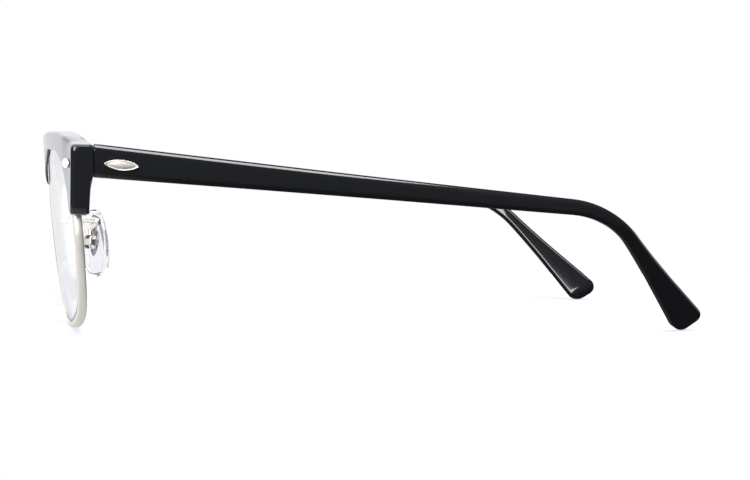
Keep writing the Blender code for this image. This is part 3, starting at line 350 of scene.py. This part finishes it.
def makeLockLugs():  # the two lugs that the lock screw draws together
    level, depth, half = lockShape["level"], lockShape["depth"], lockShape["height"] / 2
    turn = turnAtLevel(1 / 8, 1 / 3, level)
    x = lensEdge(turn, rimShape["groove"] + rimShape["wall"] / 2)[0]
    middle = rimY(x, level) + rimShape["depth"] / 2 - depth / 2
    lugs = []
    for low, high in ((-half, -lockShape["split"] / 2), (lockShape["split"] / 2, half)):
        start = (x, middle - depth / 2, level + low)
        end = (x + lockShape["width"], middle + depth / 2, level + high)
        lugs.append(bevelledBlock(start, end, lockShape["edge"]))
    return joined(*lugs)


def makeTab():  # round-ended tab that the brow screw goes through
    nearX, nearZ = lensEdge(tabShape["turn"], 0)
    farX, farZ = lensEdge(tabShape["turn"], tabShape["length"])
    out = Vector((farX - nearX, 0, farZ - nearZ)).normalized()
    side = out.cross(Vector((0, 1, 0)))
    root = Vector((nearX, 0, nearZ)) + out * (rimShape["groove"] + rimShape["wall"] / 2)
    back = rimY(root.x, root.z) + rimShape["depth"] / 2
    radius = tabShape["width"] / 2
    outline = [root - side * radius, root + side * radius]
    for k in range(tabShape["steps"] + 1):
        angle = pi * k / tabShape["steps"]
        reach = tabShape["length"] - radius + radius * sin(angle)
        outline.append(root + out * reach + side * radius * cos(angle))
    levels = (back - tabShape["thickness"], back)
    return skin([[(point.x, y, point.z) for point in outline] for y in levels])


addPair("lens", makeLens(), lensPlastic, "front_body", ["lens"], 30)
rimParts = joined(ringOf(rimProfile(), lensShape["steps"]), makeLockLugs(), makeTab())
addPair("rim", rimParts, satin, "front_body", ["rim"], 35)
print("lenses and rims made")


# Bridge

bridgeShape = {
    "height": 3.0, "endHeight": 2.5, "thickness": 1.8, "level": 32.3, "endLevel": 31.2, "bow": 0.3,
    "steps": 40, "sides": 28, "squareness": 0.66, "solder": 0.15,
}


def makeBridge():
    turn = turnAtLevel(-1 / 2, 0.0, bridgeShape["endLevel"] - bridgeShape["endHeight"] / 2)
    endX = lensEdge(turn, rimOut + bridgeShape["solder"])[0]
    endY = rimY(endX, bridgeShape["endLevel"])
    sections = []
    for k in range(bridgeShape["steps"] + 1):
        share = 2 * k / bridgeShape["steps"] - 1
        arch = cos(share * pi / 2)
        height = (bridgeShape["endHeight"] + (bridgeShape["height"] - bridgeShape["endHeight"]) * arch) / 2
        y = endY - (bridgeShape["bow"] + endX * tan(lensShape["wrap"])) * arch
        z = bridgeShape["endLevel"] + (bridgeShape["level"] - bridgeShape["endLevel"]) * arch
        section = []
        for j in range(bridgeShape["sides"]):
            angle = 2 * pi * j / bridgeShape["sides"]
            across = signedPower(cos(angle), bridgeShape["squareness"])
            up = signedPower(sin(angle), bridgeShape["squareness"])
            section.append((endX * share, y + bridgeShape["thickness"] / 2 * across, z + height * up))
        sections.append(section)
    return skin(sections)


addPiece("bridge_bar", makeBridge(), satin, "front_body", ["bridge"], 40)
print("bridge made")


# Brow

browShape = {
    "halfWidth": 66.7, "depth": 4.2, "lip": 0.4, "gap": 0.3, "frontGap": 0.15, "overlap": 0.9, "front": 4.3,
    "blendStart": 55.0, "frontRound": 0.9, "backRound": 2.6, "innerRound": 0.15,
    "pocketLean": 0.5, "pocketMost": 0.55,  # how far the groove's wall may lean, and may reach in
    "lipRound": 0.26, "lipBackRound": 0.08,
    "thin": 0.36, "thinReach": 1.8, "thinTurn": -0.05,  # the lip runs out thin at the nose
    "bareTurn": -0.108, "bareDraw": 1.5, "fade": 0.06,  # and draws back from the rim
    "step": 0.37, "stepLevel": 31.1, "stepBlend": 0.4,  # the block's back steps forward under the temple
    "noseEnd": (0.9, 0.85), "blockEnd": (0.45, 0.12),  # reach and loss of the rounded ends
    "archSteps": 110, "blockSteps": 7, "roundSteps": 6, "faceSteps": 5,
    # turn along the lens, outer edge in halves of the lens's size, depth share, back's share to the seam
    "arch": (
        (-0.193, -0.955, 0.535, 0.57, 0.0), (-0.182, -1.010, 0.570, 0.57, 0.0),
        (-0.162, -1.038, 0.660, 0.58, 0.0), (-0.135, -1.052, 0.790, 0.62, 0.0),
        (-0.110, -1.042, 0.931, 0.70, 0.0), (-0.088, -0.977, 1.063, 0.82, 0.0),
        (-0.060, -0.802, 1.127, 0.94, 0.0), (-0.015, -0.394, 1.158, 1.00, 0.0),
        (0.035, 0.096, 1.162, 1.00, 0.0), (0.085, 0.532, 1.154, 1.00, 0.1),
        (0.125, 0.831, 1.116, 1.00, 0.5), (0.150, 1.008, 1.074, 1.00, 0.95),
    ),
    # turn, reach as a share of the half width, level in halves of the lens's height, back's place and round
    "block": (
        (0.165, 0.925, 1.050, 0.0, 1.3), (0.182, 0.988, 1.022, 0.0, 0.91), (0.190, 1.000, 0.995, 0.0, 0.39),
        (0.214, 1.000, 0.674, 0.0, 0.31), (0.218, 1.000, 0.654, -0.37, 0.6),
        (0.238, 1.000, 0.355, -0.62, 0.6), (0.245, 0.985, 0.287, -0.65, 0.6),
    ),
}


def browFront(x, z):
    lip = rimY(x, z) - rimShape["depth"] / 2 - browShape["frontGap"] - browShape["lip"]
    share = within((x - browShape["blendStart"]) / (browShape["halfWidth"] - browShape["blendStart"]))
    share = share * share * (3 - 2 * share)
    return lip * (1 - share) - browShape["front"] * share


def browSection(turn, x, z, depth, backShare, backY, backRound):  # thin over the rim, then full depth
    bared = within((browShape["bareTurn"] - turn) / browShape["fade"])
    thinned = within((browShape["thinTurn"] - turn) / browShape["fade"])
    innerX, innerZ = lensEdge(turn, -browShape["overlap"] * (1 - browShape["bareDraw"] * bared * bared))
    wallX, wallZ = lensEdge(turn, rimOut + browShape["gap"])
    alongX, alongZ = x - innerX, z - innerZ
    length = sqrt(alongX ** 2 + alongZ ** 2)
    normalX, normalZ = wallX - innerX, wallZ - innerZ
    pocket = normalX ** 2 + normalZ ** 2
    lean = (normalX * alongX + normalZ * alongZ) / length
    pocket = pocket / max(browShape["pocketLean"] * sqrt(pocket), lean)
    pocket = min(pocket, browShape["pocketMost"] * length)
    frontRound = min(browShape["frontRound"], length / 3)
    backRound = min(backRound, (length - pocket) / 2)
    inner, lipRound = (min(browShape[key], length / 8) for key in ("innerRound", "lipRound"))
    arc = quarterTurn(browShape["roundSteps"])
    section = []

    def add(reach, fromFront, fromBack=None):
        pointX, pointZ = innerX + alongX * reach / length, innerZ + alongZ * reach / length
        front = browFront(pointX, pointZ)
        under = within((browShape["stepLevel"] - pointZ) / browShape["stepBlend"])
        back = (front + depth) * (1 - backShare) + min(backY, -browShape["step"] * under) * backShare
        thin = browShape["thin"] * thinned * max(0.0, 1 - reach / browShape["thinReach"]) ** 2
        y = front + fromFront + thin * (1 - fromFront / browShape["lip"])
        section.append((pointX, y if fromBack is None else back - fromBack, pointZ))

    for s, c in arc:
        add(length - frontRound * (1 - s), frontRound * (1 - c))
    for s, c in arc:
        add(length - backRound * (1 - c), 0, backRound * (1 - s))
    add(pocket + inner, 0, 0)
    add(pocket, 0, inner)
    add(pocket, browShape["lip"])
    add(browShape["lipBackRound"], browShape["lip"])
    add(0, browShape["lip"] - browShape["lipBackRound"])
    for s, c in arc:
        add(lipRound * (1 - c), lipRound * (1 - s))
    for k in range(1, browShape["faceSteps"]):
        add(lipRound + (length - frontRound - lipRound) * k / browShape["faceSteps"], 0)
    return section


def makeBrow():
    stations = []
    for k in range(browShape["archSteps"] + 1):
        turn, x, z, depth, back = curveThrough(browShape["arch"], k / browShape["archSteps"])
        x, z = lensX + x * lensShape["width"] / 2, lensZ + z * lensShape["height"] / 2
        backRound = browShape["backRound"] * depth
        stations.append([turn, x, z, browShape["depth"] * depth, within(back), 0.0, backRound])
    block = [stations[-1]]
    for turn, x, z, backY, backRound in browShape["block"]:
        x, z = x * browShape["halfWidth"], lensZ + z * lensShape["height"] / 2
        block.append([turn, x, z, browShape["depth"], 1.0, backY, backRound])
    for near, far in zip(block, block[1:]):
        for k in range(1, browShape["blockSteps"] + 1):
            share = k / browShape["blockSteps"]
            stations.append([a + (b - a) * share for a, b in zip(near, far)])
    soft = [stations[0]]
    for before, here, after in zip(stations, stations[1:], stations[2:]):
        soft.append([(a + 2 * b + c) / 4 for a, b, c in zip(before, here, after)])
    soft.append(stations[-1])
    sections = [browSection(*station) for station in soft]
    roundEnd(sections, *browShape["noseEnd"], fromStart=True)
    roundEnd(sections, *browShape["blockEnd"])
    return skin(sections)


addPair("brow", makeBrow(), acetate, "front_body", ["brow"], 35)
print("brows made")


# Plaques

plaqueShape = {
    "length": 6.7, "height": 1.98, "pointing": 1.5, "browRise": 0.34, "templeRise": 0.5, "seat": 0.15,
    "steps": 26, "browX": 60.3, "browZ": 33.8, "templeY": 5.3, "templeDrop": 0.35,
    # shares of the outline and of the rise: up the rim, over its rounded edge, a shallow groove, a low dome
    "dome": (
        (0.94, -0.30), (0.985, 0.0), (1.0, 0.25), (0.995, 0.62), (0.97, 0.86), (0.93, 0.95),
        (0.88, 0.90), (0.84, 0.72), (0.78, 0.70), (0.66, 0.82), (0.46, 0.92), (0.24, 0.97), (0.04, 0.98),
    ),
}


def makePlaque(centre, along, up, out, surface, rises):  # pointed oval with a raised edge and a domed middle
    outline = []
    for k in range(2 * plaqueShape["steps"]):
        angle = pi * k / plaqueShape["steps"]
        b = signedPower(sin(angle), plaqueShape["pointing"])
        outline.append((cos(angle) * plaqueShape["length"] / 2, b * plaqueShape["height"] / 2))
    sections = []
    for share, rise in plaqueShape["dome"]:
        section = []
        for a, b in outline:
            foot = surface(centre + along * a * share + up * b * share)
            section.append(tuple(foot + out * (plaqueShape["seat"] + rises * rise)))
        sections.append(section)
    return skin(sections)


browPlaque = makePlaque(
    Vector((plaqueShape["browX"], 0, plaqueShape["browZ"])),
    Vector((1, 0, 0)), Vector((0, 0, 1)), Vector((0, -1, 0)),
    lambda point: Vector((point.x, browFront(point.x, point.z), point.z)), plaqueShape["browRise"],
)
addPair("browPlaque", browPlaque, silver, "front_body", ["brow_plaque"], 30)


# Temple

templeShape = {
    "outerX": 66.0, "level": 34.4, "height": 6.45, "thickness": 4.2, "tipThickness": 3.4,
    "straight": 96.8, "drop": radians(4.75), "bendRadius": 22.0, "bend": radians(42.7), "tip": 25.5,
    "skew": 0.7, "toeIn": radians(5.3), "tipTurn": radians(24.2), "turnEase": 16.0,
    "corner": 1.5, "innerCorner": 0.8, "seam": 0.05,
    "buttEdge": 0.3, "buttLoss": 0.09, "tipRound": 2.7, "tipLoss": 0.75,
    "buttSteps": 4, "straightSteps": 44, "bendSteps": 26, "tipSteps": 36, "cornerSteps": 9,
    # share of the length, share of the height
    "heights": (
        (0.00, 1.00), (0.18, 0.845), (0.41, 0.673), (0.66, 0.529), (0.72, 0.49), (0.78, 0.43),
        (0.83, 0.455), (0.89, 0.63), (0.95, 0.89), (1.00, 1.116),
    ),
}
templeArc = templeShape["bendRadius"] * templeShape["bend"]
templeLength = templeShape["straight"] + templeArc + templeShape["tip"]


def turnIn(distance):  # how far the outer face has come in
    past = distance - templeShape["straight"]
    ease = templeShape["turnEase"]
    eased = 0.0 if past <= 0 else past ** 2 / (2 * ease) if past < ease else past - ease / 2
    straightPart = min(distance, templeShape["straight"] + ease / 2)
    return tan(templeShape["toeIn"]) * straightPart + tan(templeShape["tipTurn"]) * eased


def templePoint(distance):  # middle line of the outer face
    straight, drop, radius = templeShape["straight"], templeShape["drop"], templeShape["bendRadius"]
    along = min(distance, straight)
    y, z = templeShape["seam"] + along * cos(drop), templeShape["level"] - along * sin(drop)
    if distance > straight:
        angle = min(distance - straight, templeArc) / radius
        y += radius * (sin(drop + angle) - sin(drop))
        z -= radius * (cos(drop) - cos(drop + angle))
    if distance > straight + templeArc:
        rest = distance - straight - templeArc
        y += rest * cos(drop + templeShape["bend"])
        z -= rest * sin(drop + templeShape["bend"])
    return Vector((templeShape["outerX"] - turnIn(distance), y, z))


def templeAxes(distance):
    step = 0.1
    at = max(distance, step)
    along = (templePoint(at + step) - templePoint(at - step)).normalized()
    up = Vector((1, 0, 0)).cross(along).normalized()
    return along, along.cross(up).normalized(), up


def templeSection(distance):
    share = within(distance / templeLength)
    height = templeShape["height"] * curveAt(templeShape["heights"], share)
    thickness = templeShape["thickness"] + (templeShape["tipThickness"] - templeShape["thickness"]) * share
    along, outwards, up = templeAxes(distance)
    centre = templePoint(distance) - outwards * thickness / 2
    tipShare = max(0.0, 1 - (templeLength - distance) / templeShape["tip"])
    skew = along * templeShape["skew"] * tipShare * 2 / height
    section = []
    for index, (side, level) in enumerate(((1, 1), (-1, 1), (-1, -1), (1, -1))):
        corner = templeShape["corner"] if side > 0 else templeShape["innerCorner"]
        corner = min(corner, height / 3, thickness / 3)
        for k in range(templeShape["cornerSteps"] + 1):
            angle = pi / 2 * (index + k / templeShape["cornerSteps"])
            across = side * (thickness / 2 - corner) + corner * cos(angle)
            rise = level * (height / 2 - corner) + corner * sin(angle)
            section.append(centre + outwards * across + (up + skew) * rise)
    return section


def makeTemple():
    straight, tip, edge, start = (templeShape[key] for key in ("straight", "tip", "buttEdge", "seam"))
    counts = [templeShape[key] for key in ("buttSteps", "straightSteps", "bendSteps", "tipSteps")]
    distances = [edge * k / counts[0] for k in range(counts[0] + 1)]
    distances += [edge + (straight - edge) * k / counts[1] for k in range(1, counts[1])]
    distances += [straight + templeArc * k / counts[2] for k in range(counts[2])]
    distances += [templeLength - tip * (1 - sin(pi / 2 * k / counts[3])) for k in range(counts[3] + 1)]
    sections = []
    direction = templeAxes(0)[0]
    for distance in distances:
        section = templeSection(distance)
        if distance <= edge:  # the butt end stands square to the front
            section = [point + direction * ((start + distance - point.y) / direction.y) for point in section]
        sections.append([tuple(point) for point in section])
    roundEnd(sections, edge, templeShape["buttLoss"], fromStart=True)
    roundEnd(sections, templeShape["tipRound"], templeShape["tipLoss"])
    return skin(sections)


templePlaqueAt = plaqueShape["templeY"] / cos(templeShape["drop"])
templeAlong, _, templeUp = templeAxes(templePlaqueAt)
templePlaque = makePlaque(
    templePoint(templePlaqueAt) - Vector((0, 0, plaqueShape["templeDrop"])),
    Vector((0, templeAlong.y, templeAlong.z)).normalized(), templeUp, Vector((1, 0, 0)),
    lambda point: Vector((templeShape["outerX"] - turnIn(point.y), point.y, point.z)),
    plaqueShape["templeRise"],
)
addPair("temple_arm", makeTemple(), acetate, "temple_body", ["temple"], 35)
addPair("templePlaque", templePlaque, satin, "temple_body", ["temple_plaque"], 30)
print("temples and plaques made")


# Nose pads

padShape = {
    "x": 10.2, "y": 2.25, "z": 16.0, "width": 6.4, "length": 13.8, "thickness": 1.8, "splay": radians(38),
    "lean": radians(6), "slant": 0.12, "taper": 0.1, "topLess": 0.25, "footMore": 0.5, "steps": 96,
    "squareness": 0.67, "axisReach": 2.0, "lugWidth": 0.9, "lugRadius": 0.65, "lugSteps": 16,
    # shares of the outline and of the half thickness, from the back to the skin side
    "dome": (
        (0.55, -1.0), (0.76, -1.0), (0.86, -0.94), (0.93, -0.80), (0.975, -0.55), (1.0, -0.2), (0.995, 0.12),
        (0.97, 0.38), (0.92, 0.6), (0.84, 0.78), (0.72, 0.92), (0.56, 1.0), (0.3, 1.03), (0.05, 1.04),
    ),
}
boxShape = {
    "cheek": 0.5, "gap": 0.1, "height": 2.9, "depth": 2.1, "back": 0.5, "edge": 0.18, "corner": 0.75,
    "cornerSteps": 6,
}
coreShape = {
    "width": 3.0, "length": 5.8, "thickness": 0.5, "sink": 0.4, "steps": 32,
    "pointing": 3.0, "narrowing": 0.75,
    # shares of the outline, and how deep they lie below the face
    "edge": ((0.3, 0.0), (0.88, 0.0), (0.96, 0.05), (1.0, 0.14)),
}
armShape = {
    "radius": 0.6, "startLevel": 20.5, "reachX": 13.9, "reachY": 2.2, "topLevel": 20.9,
    "steps": 60, "sides": 20, "solder": 0.15,
}
boxReach = padShape["axisReach"] + (boxShape["depth"] - padShape["lugRadius"] * 2) / 2
padSide = Vector((sin(padShape["splay"]), cos(padShape["splay"]), 0))
padFacing = Vector((-cos(padShape["splay"]), sin(padShape["splay"]), 0))
padUp = Vector((0, 0, 1)) * cos(padShape["lean"]) + padFacing * sin(padShape["lean"])
padNormal = padFacing * cos(padShape["lean"]) - Vector((0, 0, 1)) * sin(padShape["lean"])
padCentre = Vector((padShape["x"], padShape["y"], padShape["z"]))


def padPlace(side, up, out):
    return tuple(padCentre + padSide * side + padUp * up + padNormal * out)


def makePad():
    outline = []
    for k in range(padShape["steps"]):
        angle = 2 * pi * k / padShape["steps"]
        across = signedPower(cos(angle), padShape["squareness"])
        rise = signedPower(sin(angle), padShape["squareness"])
        side = padShape["width"] / 2 * across * (1 - padShape["taper"] * rise)
        reach = padShape["length"] / 2 + (-padShape["topLess"] if rise > 0 else padShape["footMore"])
        outline.append((side - padShape["slant"] * padShape["length"] / 2 * rise, reach * rise))
    half = padShape["thickness"] / 2
    sections = []
    for share, out in padShape["dome"]:
        sections.append([padPlace(a * share, b * share, half * out) for a, b in outline])
    return skin(sections)


def tube(points, radius, sides):  # round tube along points, its axes carried along so that it doesn't twist
    side = None
    sections = []
    for i, point in enumerate(points):
        before, after = points[max(i - 1, 0)], points[min(i + 1, len(points) - 1)]
        direction = (after - before).normalized()
        if side is None:
            side = direction.orthogonal().normalized()
        side = (side - direction * side.dot(direction)).normalized()
        up = direction.cross(side)
        section = []
        for k in range(sides):
            angle = 2 * pi * k / sides
            section.append(tuple(point + (side * cos(angle) + up * sin(angle)) * radius))
        sections.append(section)
    return skin(sections)


def makePadCore():  # teardrop plate on the pad's back, with a rounded edge
    outline = []
    for k in range(coreShape["steps"]):
        angle = 2 * pi * k / coreShape["steps"]
        taper = 1 + sin(angle) / coreShape["pointing"]
        across = coreShape["width"] / 2 * cos(angle) * taper * coreShape["narrowing"]
        outline.append((across, coreShape["length"] / 2 * sin(angle)))
    outer = coreShape["sink"] - coreShape["thickness"] - padShape["thickness"] / 2
    sections = []
    for share, out in coreShape["edge"] + ((1.0, coreShape["thickness"]),):
        sections.append([padPlace(a * share, b * share, outer + out) for a, b in outline])
    return skin(sections)


def padFramed(mesh):  # moves a mesh made about the pad's own axes to the pad
    axes = Matrix((padSide, padUp, padNormal)).transposed().to_4x4()
    origin = Vector(seam) * mm
    mesh.transform(Matrix.Translation(place(*padCentre)) @ axes @ Matrix.Translation(-origin))
    return mesh


def makePadLug():
    reach = padShape["axisReach"] + coreShape["sink"] - coreShape["thickness"] / 2 - padShape["thickness"] / 2
    radius, half, steps = padShape["lugRadius"], padShape["lugWidth"] / 2, padShape["lugSteps"]
    outline = [(radius, reach), (-radius, reach)]
    for k in range(steps + 1):
        angle = pi + pi * k / steps
        outline.append((radius * cos(angle), radius * sin(angle)))
    sides = [[(side, up, out - padShape["axisReach"]) for up, out in outline] for side in (-half, half)]
    return padFramed(skin(sides))


def makeBox():  # clevis box: two cheeks and a back, with rounded edges
    room = padShape["lugWidth"] / 2 + boxShape["gap"]
    halfWidth = room + boxShape["cheek"]
    low, high = -boxReach - boxShape["depth"] / 2, -boxReach + boxShape["depth"] / 2
    half, edge, corner = boxShape["height"] / 2, boxShape["edge"], boxShape["corner"]

    def cheek(start, end):  # a rounded plate whose outer edges are taken off
        inward = 1 if end > start else -1
        levels = ((start, edge), (start + inward * edge / 2, edge / 3), (start + inward * edge, 0), (end, 0))
        sections = []
        for side, inset in levels:
            section = []
            for index, (up, out) in enumerate(((half, high), (-half, high), (-half, low), (half, low))):
                for k in range(boxShape["cornerSteps"] + 1):
                    angle = pi / 2 * (index + k / boxShape["cornerSteps"])
                    upMiddle = up - corner if up > 0 else up + corner
                    outMiddle = out - corner if out == high else out + corner
                    rounded = corner - inset
                    section.append((side, upMiddle + rounded * cos(angle), outMiddle + rounded * sin(angle)))
            sections.append(section)
        return skin(sections)

    back = bevelledBlock(
        (-room - edge, corner - half, low), (room + edge, half - corner, low + boxShape["back"]), edge / 2,
    )
    return padFramed(joined(cheek(-halfWidth, -room), cheek(halfWidth, room), back))


def makeArm():  # from a foot on the rim's back, out and back in one sweep, then down onto the box
    turn = turnAtLevel(-1 / 2, 0.0, armShape["startLevel"])
    radius = armShape["radius"]
    x, z = lensEdge(turn, rimShape["wall"])
    foot = Vector((x, rimY(x, z) + rimShape["depth"] / 2 + armShape["solder"], z))
    boxMiddle = padCentre - padNormal * boxReach
    top = boxMiddle + padUp * (boxShape["height"] / 2 + armShape["solder"])
    above = top + padUp * radius * 2
    bend = Vector((armShape["reachX"], armShape["reachY"], armShape["topLevel"]))
    points = (
        foot, foot + Vector((0, radius * 2, 0)), foot.lerp(bend, 1 / 2) + Vector((0, 0, radius / 2)), bend,
        bend.lerp(above, 1 / 2) + (bend - foot).normalized() * radius, above, top,
    )
    path = [Vector(curveThrough(points, k / armShape["steps"])) for k in range(armShape["steps"] + 1)]
    return tube(path, radius, armShape["sides"])


addPair("nosePad", makePad(), padSilicone, "pad_body", ["nose_pad"], 50)
addPair("padCore", joined(makePadCore(), makePadLug()), steel, "pad_body", ["pad_core"], 35)
addPair("padBox", makeBox(), silver, "front_body", ["pad_box"], 35)
addPair("padArm", makeArm(), silver, "front_body", ["pad_arm"], 45)
print("nose pads made")


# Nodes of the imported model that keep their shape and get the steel

keptNodes = (
    "rim_lock_screw", "brow_screw", "front_hinge", "hinge_screw", "pad_screw", "temple_hinge", "temple_core",
)
for node in keptNodes:
    for side in ("left", "right"):
        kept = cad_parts[side + "_" + node]
        kept.data.materials.clear()
        kept.data.materials.append(steel)


# Floor, light and camera

smooth = {"interpolation_type": "SMOOTHSTEP"}
floorLook = {
    "middle": (-0.02, 0.0), "half": (0.12, 0.26), "pale": "848284", "tint": "f0f4ff",
    "glow": (0.76, 1.3), "glowSpan": (0.65, 0.98),  # seen, it fades into the white room at its edges
    "mirrored": (0.98, 0.08), "mirroredSpan": (-0.075, -0.040),  # mirrored, only its front part is bright: painted light in front, painted shade behind
}
roomLook = {
    "tint": "fbfcff", "seen": 1.0,
    "strengths": {
        "farLow": 1.03, "farFrontHigh": 2.1, "farRearHigh": 0.10, "near": 0.16,
        "frontFar": 1.85, "frontNear": 0.30, "straightAhead": 0.2,
    },
    # name, the axis it changes along, the span on that axis, and the strengths before and after the span
    "blends": (
        ("farFront", "Z", (0.02, 0.42), "farLow", "farFrontHigh"),
        ("farRear", "Z", (0.16, 0.34), "farLow", "farRearHigh"),
        ("far", "Y", (0.06, 0.14), "farFront", "farRear"),
        ("sides", "X", (-0.25, 0.15), "far", "near"),
        ("front", "X", (-0.60, 0.10), "frontFar", "frontNear"),
        ("around", "Y", (-0.50, -0.10), "front", "sides"),
        ("room", "Y", (-0.92, -0.65), "straightAhead", "around"),
    ),
}


def whiteSeen(tree):  # 1 where the camera sees a surface directly or through a clear one
    path = addNode(tree, "ShaderNodeLightPath")
    first = addNode(
        tree, "ShaderNodeMath", {"operation": "MAXIMUM"}, i0=path.outputs["Is Camera Ray"],
        i1=path.outputs["Is Transmission Ray"],
    )
    return first.outputs[0]


def makeFloor():
    material = bpy.data.materials.new("paperSweep")  # coated paper: white and even, with soft shadows; seen in reflections, its glow is painted light in front and painted shade behind
    material.use_nodes = True
    tree = material.node_tree
    tree.nodes.clear()
    halfX, halfY = floorLook["half"]
    spot = addNode(tree, "ShaderNodeTexCoord").outputs["Object"]
    shares = addNode(tree, "ShaderNodeVectorMath", {"operation": "DIVIDE"}, i0=spot, i1=(halfX, halfY, 1))
    reach = addNode(tree, "ShaderNodeVectorMath", {"operation": "LENGTH"}, i0=shares.outputs[0])
    along = addNode(tree, "ShaderNodeSeparateXYZ", Vector=spot)
    strengths = {}
    for key, value in (("glow", reach.outputs["Value"]), ("mirrored", along.outputs["Y"])):
        (low, high), (start, end) = floorLook[key + "Span"], floorLook[key]
        strengths[key] = addNode(
            tree, "ShaderNodeMapRange", smooth, Value=value, From_Min=low, From_Max=high,
            To_Min=start, To_Max=end,
        ).outputs["Result"]
    pale = addNode(tree, "ShaderNodeBsdfDiffuse", Color=hexColour(floorLook["pale"]))
    glow = addNode(tree, "ShaderNodeEmission", Color=hexColour(floorLook["tint"]), Strength=strengths["glow"])
    both = addNode(tree, "ShaderNodeAddShader", i0=pale.outputs[0], i1=glow.outputs[0])
    tint = hexColour(roomLook["tint"])
    # painted light and shade: in reflections the floor glows bright at its front and dark behind, set by
    # position, not by the lamps
    paintedFloorLight = addNode(tree, "ShaderNodeEmission", Color=tint, Strength=strengths["mirrored"])
    seen = whiteSeen(tree)
    mixed = addNode(tree, "ShaderNodeMixShader", Fac=seen, i1=paintedFloorLight.outputs[0], i2=both.outputs[0])
    addNode(tree, "ShaderNodeOutputMaterial", Surface=mixed.outputs[0])
    mesh = bpy.data.meshes.new("paperFloor")
    corners = ((-halfX, -halfY), (halfX, -halfY), (halfX, halfY), (-halfX, halfY))
    mesh.from_pydata([(x, y, 0.0) for x, y in corners], [], [(0, 1, 2, 3)])
    mesh.materials.append(material)
    floor = bpy.data.objects.new("paperFloor", mesh)
    floor.location = (*floorLook["middle"], 0.0)
    bpy.context.scene.collection.objects.link(floor)


def makeWorld():
    world = bpy.data.worlds.new("studioRoom")
    bpy.context.scene.world = world
    world.use_nodes = True
    tree = world.node_tree
    tree.nodes.clear()
    seen = whiteSeen(tree)
    spot = addNode(tree, "ShaderNodeTexCoord")
    parts = addNode(tree, "ShaderNodeSeparateXYZ", Vector=spot.outputs["Generated"])
    strengths = dict(roomLook["strengths"])
    for name, axis, (low, high), before, after in roomLook["blends"]:
        strengths[name] = addNode(
            tree, "ShaderNodeMapRange", smooth, Value=parts.outputs[axis], From_Min=low, From_Max=high,
            To_Min=strengths[before], To_Max=strengths[after],
        ).outputs["Result"]
    tint = hexColour(roomLook["tint"])
    room = addNode(tree, "ShaderNodeBackground", Color=tint, Strength=strengths["room"])
    back = addNode(tree, "ShaderNodeBackground", Color=(1, 1, 1, 1), Strength=roomLook["seen"])
    mixed = addNode(tree, "ShaderNodeMixShader", Fac=seen, i1=room.outputs[0], i2=back.outputs[0])
    addNode(tree, "ShaderNodeOutputWorld", Surface=mixed.outputs[0])


lampShapes = {
    "topSoftbox": {
        "at": (0.17, 0.03, 0.60), "target": (0.17, 0.03, 0.0), "size": (0.44, 0.42), "power": 7.2,
    },
    "sideSoftbox": {
        "at": (0.50, -0.24, 0.20), "target": (0, 0, 0.02), "size": (0.26, 0.22), "power": 2.6,
    },
}


def addLamp(name, at, target, size, power):
    lamp = bpy.data.lights.new(name, "AREA")
    lamp.shape = "RECTANGLE"
    lamp.size, lamp.size_y = size
    lamp.energy = power
    holder = bpy.data.objects.new(name, lamp)
    holder.location = at
    holder.rotation_euler = (Vector(target) - Vector(at)).to_track_quat("-Z", "Y").to_euler()
    bpy.context.scene.collection.objects.link(holder)


cameraShape = {
    "at": (430.79, -9.01, 37.65), "yaw": radians(9.8375), "pitch": radians(2.7547), "roll": radians(0.9564),
    "lens": 91.68, "sensor": 36.0, "clip": (0.01, 20),
}


def makeCamera():
    camera = bpy.data.cameras.new("camera")
    camera.lens, camera.sensor_width = cameraShape["lens"], cameraShape["sensor"]
    camera.clip_start, camera.clip_end = cameraShape["clip"]
    holder = bpy.data.objects.new("camera", camera)
    turn = Matrix.Rotation(pi / 2 - cameraShape["yaw"], 4, "Z")
    tilt = Matrix.Rotation(pi / 2 - cameraShape["pitch"], 4, "X")
    roll = Matrix.Rotation(cameraShape["roll"], 4, "Z")
    holder.matrix_world = Matrix.Translation(place(*cameraShape["at"])) @ turn @ tilt @ roll
    bpy.context.scene.collection.objects.link(holder)
    bpy.context.scene.camera = holder


makeCamera()
makeFloor()
makeWorld()
for name, lampShape in lampShapes.items():
    addLamp(name, **lampShape)
bpy.context.scene.view_settings.view_transform = "Standard"
print("studio made")
